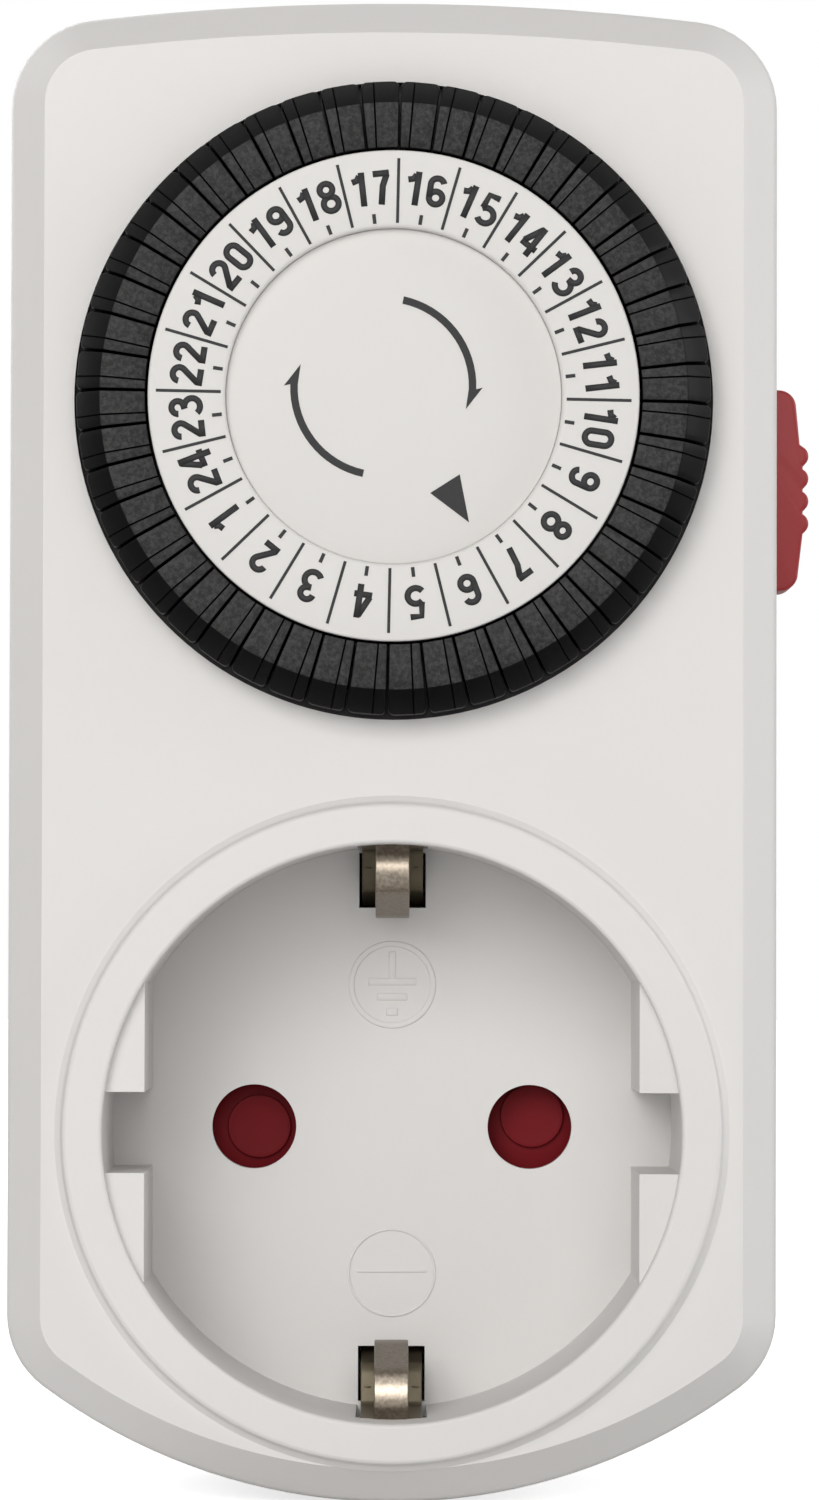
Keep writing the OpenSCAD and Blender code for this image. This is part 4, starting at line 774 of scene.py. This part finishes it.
# Inside lie the plate that runs in the rail, the arm to the contact, and the web between them.
for x0, x1, y0, y1, z0, z1 in ((21.4, 23.5, -36.9, -28.9, 32.15, 56.15),
                               (18.4, 23.5, -37.8, -36.4, 28.4, 33.0),
                               (21.4, 23.5, -37.8, -28.9, 30.4, 33.0)):
    block = bmesh.ops.create_cube(bm, size=1, matrix=Matrix.Translation(
        ((x0 + x1) / 2, (y0 + y1) / 2, (z0 + z1) / 2))
        @ Matrix.Diagonal((x1 - x0, y1 - y0, z1 - z0, 1)))
    rounded(bm, once(e for v in block["verts"] for e in v.link_edges), 0.15, 2)
knob = piece("override_slide_moulding", bm, "override", red_plastic)
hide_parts("override_slide")

# ---- Shutter ----
# One dark red nylon moulding behind the pin holes: a disc for each hole, on two arms from a hub
# that turns on a post. Both of a plug's pins together press its two bosses aside, and a spring
# brings it back.

shutter_red = moulded("shutter_red", (0.16, 0.007, 0.011), 0.5, 0.08, 0.4, 0.012)
shutter_red.node_tree.nodes["Principled BSDF"].inputs["Specular IOR Level"].default_value = 0.08
y_shutter, y_shutter_back, shutter_r, shutter_bore_r = -33.65, -32.25, 3.5, 1.55
y_boss, y_boss_rim, y_boss_foot, boss_flat_r, boss_r = -33.9, -34.0, -33.4, 1.5, 2.2
arm_middle, arm_length, arm_t, arm_w = 5.6, 6.6, 1.36, 4.4

bm = bmesh.new()
for x, boss_x, boss_z in ((-pin_x, -9.2, -0.06), (pin_x, 9.7, 0.7)):
    joined(bm, turned([(0, y_shutter, 0), (shutter_r, y_shutter, 0.2),
                       (shutter_r, y_shutter_back, 0.1), (0, y_shutter_back, 0)], x, 0, 64))
    joined(bm, turned([(0, y_boss, 0), (boss_flat_r, y_boss - 0.03, 0.3),
                       (boss_r, y_boss_rim, 0.12), (boss_r, y_boss_foot, 0),
                       (0, y_boss_foot, 0)], boss_x, boss_z, 64))
joined(bm, turned([(shutter_bore_r, y_shutter, 0), (shutter_r, y_shutter, 0.2),
                   (shutter_r, y_shutter_back, 0.1), (shutter_bore_r, y_shutter_back, 0)]))
for side in (-1, 1):
    bmesh.ops.create_cube(bm, size=1, matrix=Matrix.Translation(
        (side * arm_middle, (y_shutter + y_shutter_back) / 2, 0))
        @ Matrix.Diagonal((arm_length, arm_t, arm_w, 1)))
shutter = piece("shutter_moulding", bm, "socket_shutter", shutter_red)
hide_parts("shutter")

# ---- Earth contacts ----
# Two bent strips of nickel-plated brass. The inner one ends in a sprung finger above and below
# in the socket, and the outer one lies in the plug's two grooves.


def metal(name, colour, roughness, tarnish=0.25, stain=1.8):
    """A plated or bare metal, with soft stains and fine rolled scratches."""
    material = bpy.data.materials.new(name)
    material.use_nodes = True
    nodes, links = material.node_tree.nodes, material.node_tree.links
    shader = nodes["Principled BSDF"]
    shader.inputs["Metallic"].default_value = 1.0
    spots = speckle(material, stain, 6)
    stained = [c * (1 - tarnish) for c in colour]
    links.new(toned(material, spots, (0.35, stained), (0.65, colour)),
              shader.inputs["Base Color"])
    glossed(material, spots, roughness, roughness + 0.2)
    scratches = speckle(material, 0.08, 2)
    drawn = nodes.new("ShaderNodeMapping")
    drawn.inputs["Scale"].default_value = (1, 0.06, 1)
    links.new(scratches.inputs["Vector"].links[0].from_socket, drawn.inputs["Vector"])
    links.new(drawn.outputs["Vector"], scratches.inputs["Vector"])
    grained(material, scratches, 0.25, 0.004)
    return material


nickel = metal("nickel_plate", (0.60, 0.56, 0.50), 0.25, 0.14, 2.5)
slope_shaded_nickel = metal("slope_shaded_nickel", (0.50, 0.43, 0.35), 0.27, 0.35, 0.25)
# The fingers' nickel keeps its own stains, and its colour is cut to about half on the faces that
# turn away from the front: painted shade on the slopes.
nodes, links = slope_shaded_nickel.node_tree.nodes, slope_shaded_nickel.node_tree.links
shader = nodes["Principled BSDF"]
slope_shade = nodes.new("ShaderNodeVectorMath")
slope_shade.operation = "SCALE"
links.new(shader.inputs["Base Color"].links[0].from_socket, slope_shade.inputs["Vector"])
links.new(frontness(slope_shaded_nickel, -0.35, -0.8, 0.52), slope_shade.inputs["Scale"])
links.new(slope_shade.outputs["Vector"], shader.inputs["Base Color"])
dull_nickel = metal("dull_nickel", (0.18, 0.155, 0.11), 0.42)


def bent(bm, path, eases, width, turn=1):
    """A strip's skin along a path of (y, z), with its bends rounded, mirrored by turn in z."""
    drawn = set(bm.verts)
    verts = [bm.verts.new((-width / 2, y, turn * z)) for y, z in path]
    for pair in zip(verts, verts[1:]):
        bm.edges.new(pair)
    for v, ease in zip(verts[1:-1], eases):
        bmesh.ops.bevel(bm, geom=[v], offset=ease, offset_type="OFFSET", segments=5,
                        profile=0.5, affect="VERTICES", material=-1)
    chain = once(e for v in bm.verts if v not in drawn for e in v.link_edges)
    made = bmesh.ops.extrude_edge_only(bm, edges=chain)["geom"]
    bmesh.ops.translate(bm, vec=(width, 0, 0),
                        verts=[g for g in made if isinstance(g, bmesh.types.BMVert)])


def gauged(obj, thickness, edge):
    """Gives a strip's skin the thickness of its sheet, and breaks the cut edges."""
    sheet = obj.modifiers.new("sheet", "SOLIDIFY")
    sheet.thickness = thickness * MM
    sheet.offset = 0
    eased(obj, edge)


# A finger rises from its foot, and its tip is a bow of one radius.
bow_y, bow_z, bow_r = -46.7, 17.8, 1.8
bow = [(bow_y - bow_r * math.cos(math.radians(a)), bow_z + bow_r * math.sin(math.radians(a)))
       for a in range(-71, 63, 7)]
bm = bmesh.new()
for side in (-1, 1):
    bent(bm, [(-35.5, 17.3), (-40.9, 14.6), (-42.7, 14.6), *bow], (0.9, 0.7), 2.3, side)
bmesh.ops.recalc_face_normals(bm, faces=bm.faces)
fingers = piece("earth_finger_springs", bm, "housing", slope_shaded_nickel, 60)
gauged(fingers, 0.45, 0.08)

bm = bmesh.new()
for side in (-1, 1):
    bent(bm, [(-29.1, 15.9), (-33.2, 15.9), (-34.5, 15.35), (-37.2, 16.6), (-38.4, 19.3),
              (-46.6, 19.6)], (0.4, 0.5, 0.5, 0.5), 4.2, side)
bent(bm, [(-28.9, -15.9), (-28.9, 15.9)], (), 4.0)
bmesh.ops.recalc_face_normals(bm, faces=bm.faces)
strip = piece("earth_finger_strip", bm, "housing", dull_nickel, 60)
gauged(strip, 0.5, 0.08)
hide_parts("earth_fingers")

# Two small pips are struck up beside each finger.
bm = bmesh.new()
for x in (-1.65, 1.65):
    for z in (-17.85, 17.85):
        bmesh.ops.create_uvsphere(bm, u_segments=16, v_segments=8, radius=1,
                                  matrix=Matrix.Translation((x, -37.95, z))
                                  @ Matrix.Diagonal((0.3, 0.16, 0.1, 1)))
piece("earth_finger_pips", bm, "housing", dull_nickel, 60)

# ---- Finishes of the frame's own pieces ----
# What is inside, and the pins and screws at the back, keep their own solids. The pins are
# nickel-plated brass, the screws zinc-plated steel, and the switch's strips bare brass.

brass = metal("brass", (0.70, 0.47, 0.17), 0.3)
steel = metal("zinc_steel", (0.58, 0.58, 0.57), 0.32, 0.12)
natural_nylon = moulded("natural_nylon", (0.62, 0.58, 0.47), 0.45)
grey_plastic = moulded("grey_plastic", (0.10, 0.10, 0.105), 0.5)
brown_sleeve = moulded("brown_sleeve", (0.12, 0.045, 0.02), 0.4)
blue_sleeve = moulded("blue_sleeve", (0.03, 0.09, 0.30), 0.4)
finishes = {
    "housing_screws": steel, "mechanism_plate": grey_plastic, "plate_screw": steel,
    "dial_carrier": black_plastic, "idler_gear": natural_nylon, "idler_axle": steel,
    "motor_can": steel, "motor_end_plate": steel, "motor_pinion": brass,
    "motor_screws": steel, "motor_lead_live": brown_sleeve,
    "motor_lead_neutral": blue_sleeve, "follower_lever": natural_nylon, "lever_pin": steel,
    "lever_spring": steel, "moving_contact": brass, "fixed_contact": brass,
    "slide_spring": steel, "shutter_spring": steel, "contact_carrier": grey_plastic,
    "live_socket_contact": brass, "neutral_socket_contact": brass,
    "plug_earth_contacts": nickel, "live_pin": nickel, "neutral_pin": nickel,
    "plug_insert": grey_plastic,
}
for name, finish in finishes.items():
    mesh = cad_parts[name].data
    mesh.materials.clear()
    mesh.materials.append(finish)

# ---- Floor, light and camera ----
# A pale floor just under the housing's lowest point, two large soft lights in front, and one
# each at the side and behind. The floor glows to the camera alone, so that it fades to white
# further away and still takes the shadow.

floor_z = -0.02485
bm = bmesh.new()
bmesh.ops.create_grid(bm, x_segments=1, y_segments=1, size=3.0,
                      matrix=Matrix.Translation((0, 0, floor_z)))
mesh = bpy.data.meshes.new("floor")
bm.to_mesh(mesh)
bm.free()
floor = bpy.data.objects.new("floor", mesh)
bpy.context.scene.collection.objects.link(floor)
paper = bpy.data.materials.new("floor_paper")
paper.use_nodes = True
nodes, links = paper.node_tree.nodes, paper.node_tree.links
shader = nodes["Principled BSDF"]
shader.inputs["Base Color"].default_value = (0.85, 0.85, 0.85, 1)
shader.inputs["Roughness"].default_value = 0.9
ray = nodes.new("ShaderNodeLightPath")
white = nodes.new("ShaderNodeEmission")
lift = nodes.new("ShaderNodeMath")
lift.operation = "MULTIPLY"
both = nodes.new("ShaderNodeAddShader")
place = nodes.new("ShaderNodeTexCoord")
distance = nodes.new("ShaderNodeVectorMath")
distance.operation = "LENGTH"
links.new(place.outputs["Object"], distance.inputs[0])
fade = nodes.new("ShaderNodeMapRange")
fade.inputs["From Min"].default_value = 0.06
fade.inputs["From Max"].default_value = 0.25
fade.inputs["To Min"].default_value = 0.72
fade.inputs["To Max"].default_value = 1.0
links.new(distance.outputs["Value"], fade.inputs["Value"])
links.new(ray.outputs["Is Camera Ray"], lift.inputs[0])
links.new(fade.outputs["Result"], lift.inputs[1])
links.new(lift.outputs["Value"], white.inputs["Strength"])
links.new(shader.outputs["BSDF"], both.inputs[0])
links.new(white.outputs["Emission"], both.inputs[1])
links.new(both.outputs["Shader"], nodes["Material Output"].inputs["Surface"])
mesh.materials.append(paper)

# The white surroundings are seen and mirrored at full strength, and light the rest faintly.
world = bpy.data.worlds.new("studio")
bpy.context.scene.world = world
world.use_nodes = True
nodes, links = world.node_tree.nodes, world.node_tree.links
back = nodes["Background"]
back.inputs["Color"].default_value = (1, 1, 1, 1)
ray = nodes.new("ShaderNodeLightPath")
level = nodes.new("ShaderNodeMapRange")
level.inputs["To Min"].default_value = 0.17
level.inputs["To Max"].default_value = 1.0
seen = nodes.new("ShaderNodeMath")
seen.operation = "MAXIMUM"
links.new(ray.outputs["Is Camera Ray"], seen.inputs[0])
links.new(ray.outputs["Is Transmission Ray"], seen.inputs[1])
shiny = nodes.new("ShaderNodeMath")
shiny.operation = "MAXIMUM"
links.new(seen.outputs["Value"], shiny.inputs[0])
links.new(ray.outputs["Is Glossy Ray"], shiny.inputs[1])
links.new(shiny.outputs["Value"], level.inputs["Value"])
links.new(level.outputs["Result"], back.inputs["Strength"])


def softbox(name, place, aim, width, height, power, colour=(1, 1, 1)):
    """A rectangular soft light, aimed at a point."""
    light = bpy.data.lights.new(name, "AREA")
    light.shape = "RECTANGLE"
    light.size, light.size_y, light.energy, light.color = width, height, power, colour
    obj = bpy.data.objects.new(name, light)
    obj.location = place
    obj.rotation_euler = (Vector(aim) - Vector(place)).to_track_quat("-Z", "Y").to_euler()
    bpy.context.scene.collection.objects.link(obj)


warm = (1.0, 0.985, 0.965)
softbox("front", (-0.06, -0.75, 0.19), (0, -0.04, 0.02), 0.55, 0.6, 3.1, warm)
softbox("key", (-0.34, -0.85, 0.4), (0, -0.04, 0.02), 0.45, 0.45, 2.45, warm)
softbox("side", (0.85, -0.12, 0.1), (0, -0.04, 0.02), 0.4, 0.8, 4.2)
softbox("back", (-0.5, 0.8, 0.5), (0, -0.02, 0.02), 0.8, 0.8, 6.0)

camera_data = bpy.data.cameras.new("camera")
camera_data.lens = 164.04
camera_data.sensor_width = 36
camera_data.clip_start = 0.01
camera = bpy.data.objects.new("camera", camera_data)
eye = (0.00007, -0.509, 0.01239)
pitch, yaw, roll = math.radians(1.652), math.radians(0.131), math.radians(0.14)
camera.matrix_world = (Matrix.Translation(eye)
                       @ Matrix.Rotation(-yaw, 4, "Z") @ Matrix.Rotation(pitch, 4, "X")
                       @ Matrix.Rotation(-roll, 4, "Y") @ Matrix.Rotation(math.pi / 2, 4, "X"))
bpy.context.scene.collection.objects.link(camera)
bpy.context.scene.camera = camera
bpy.context.scene.view_settings.view_transform = "Standard"
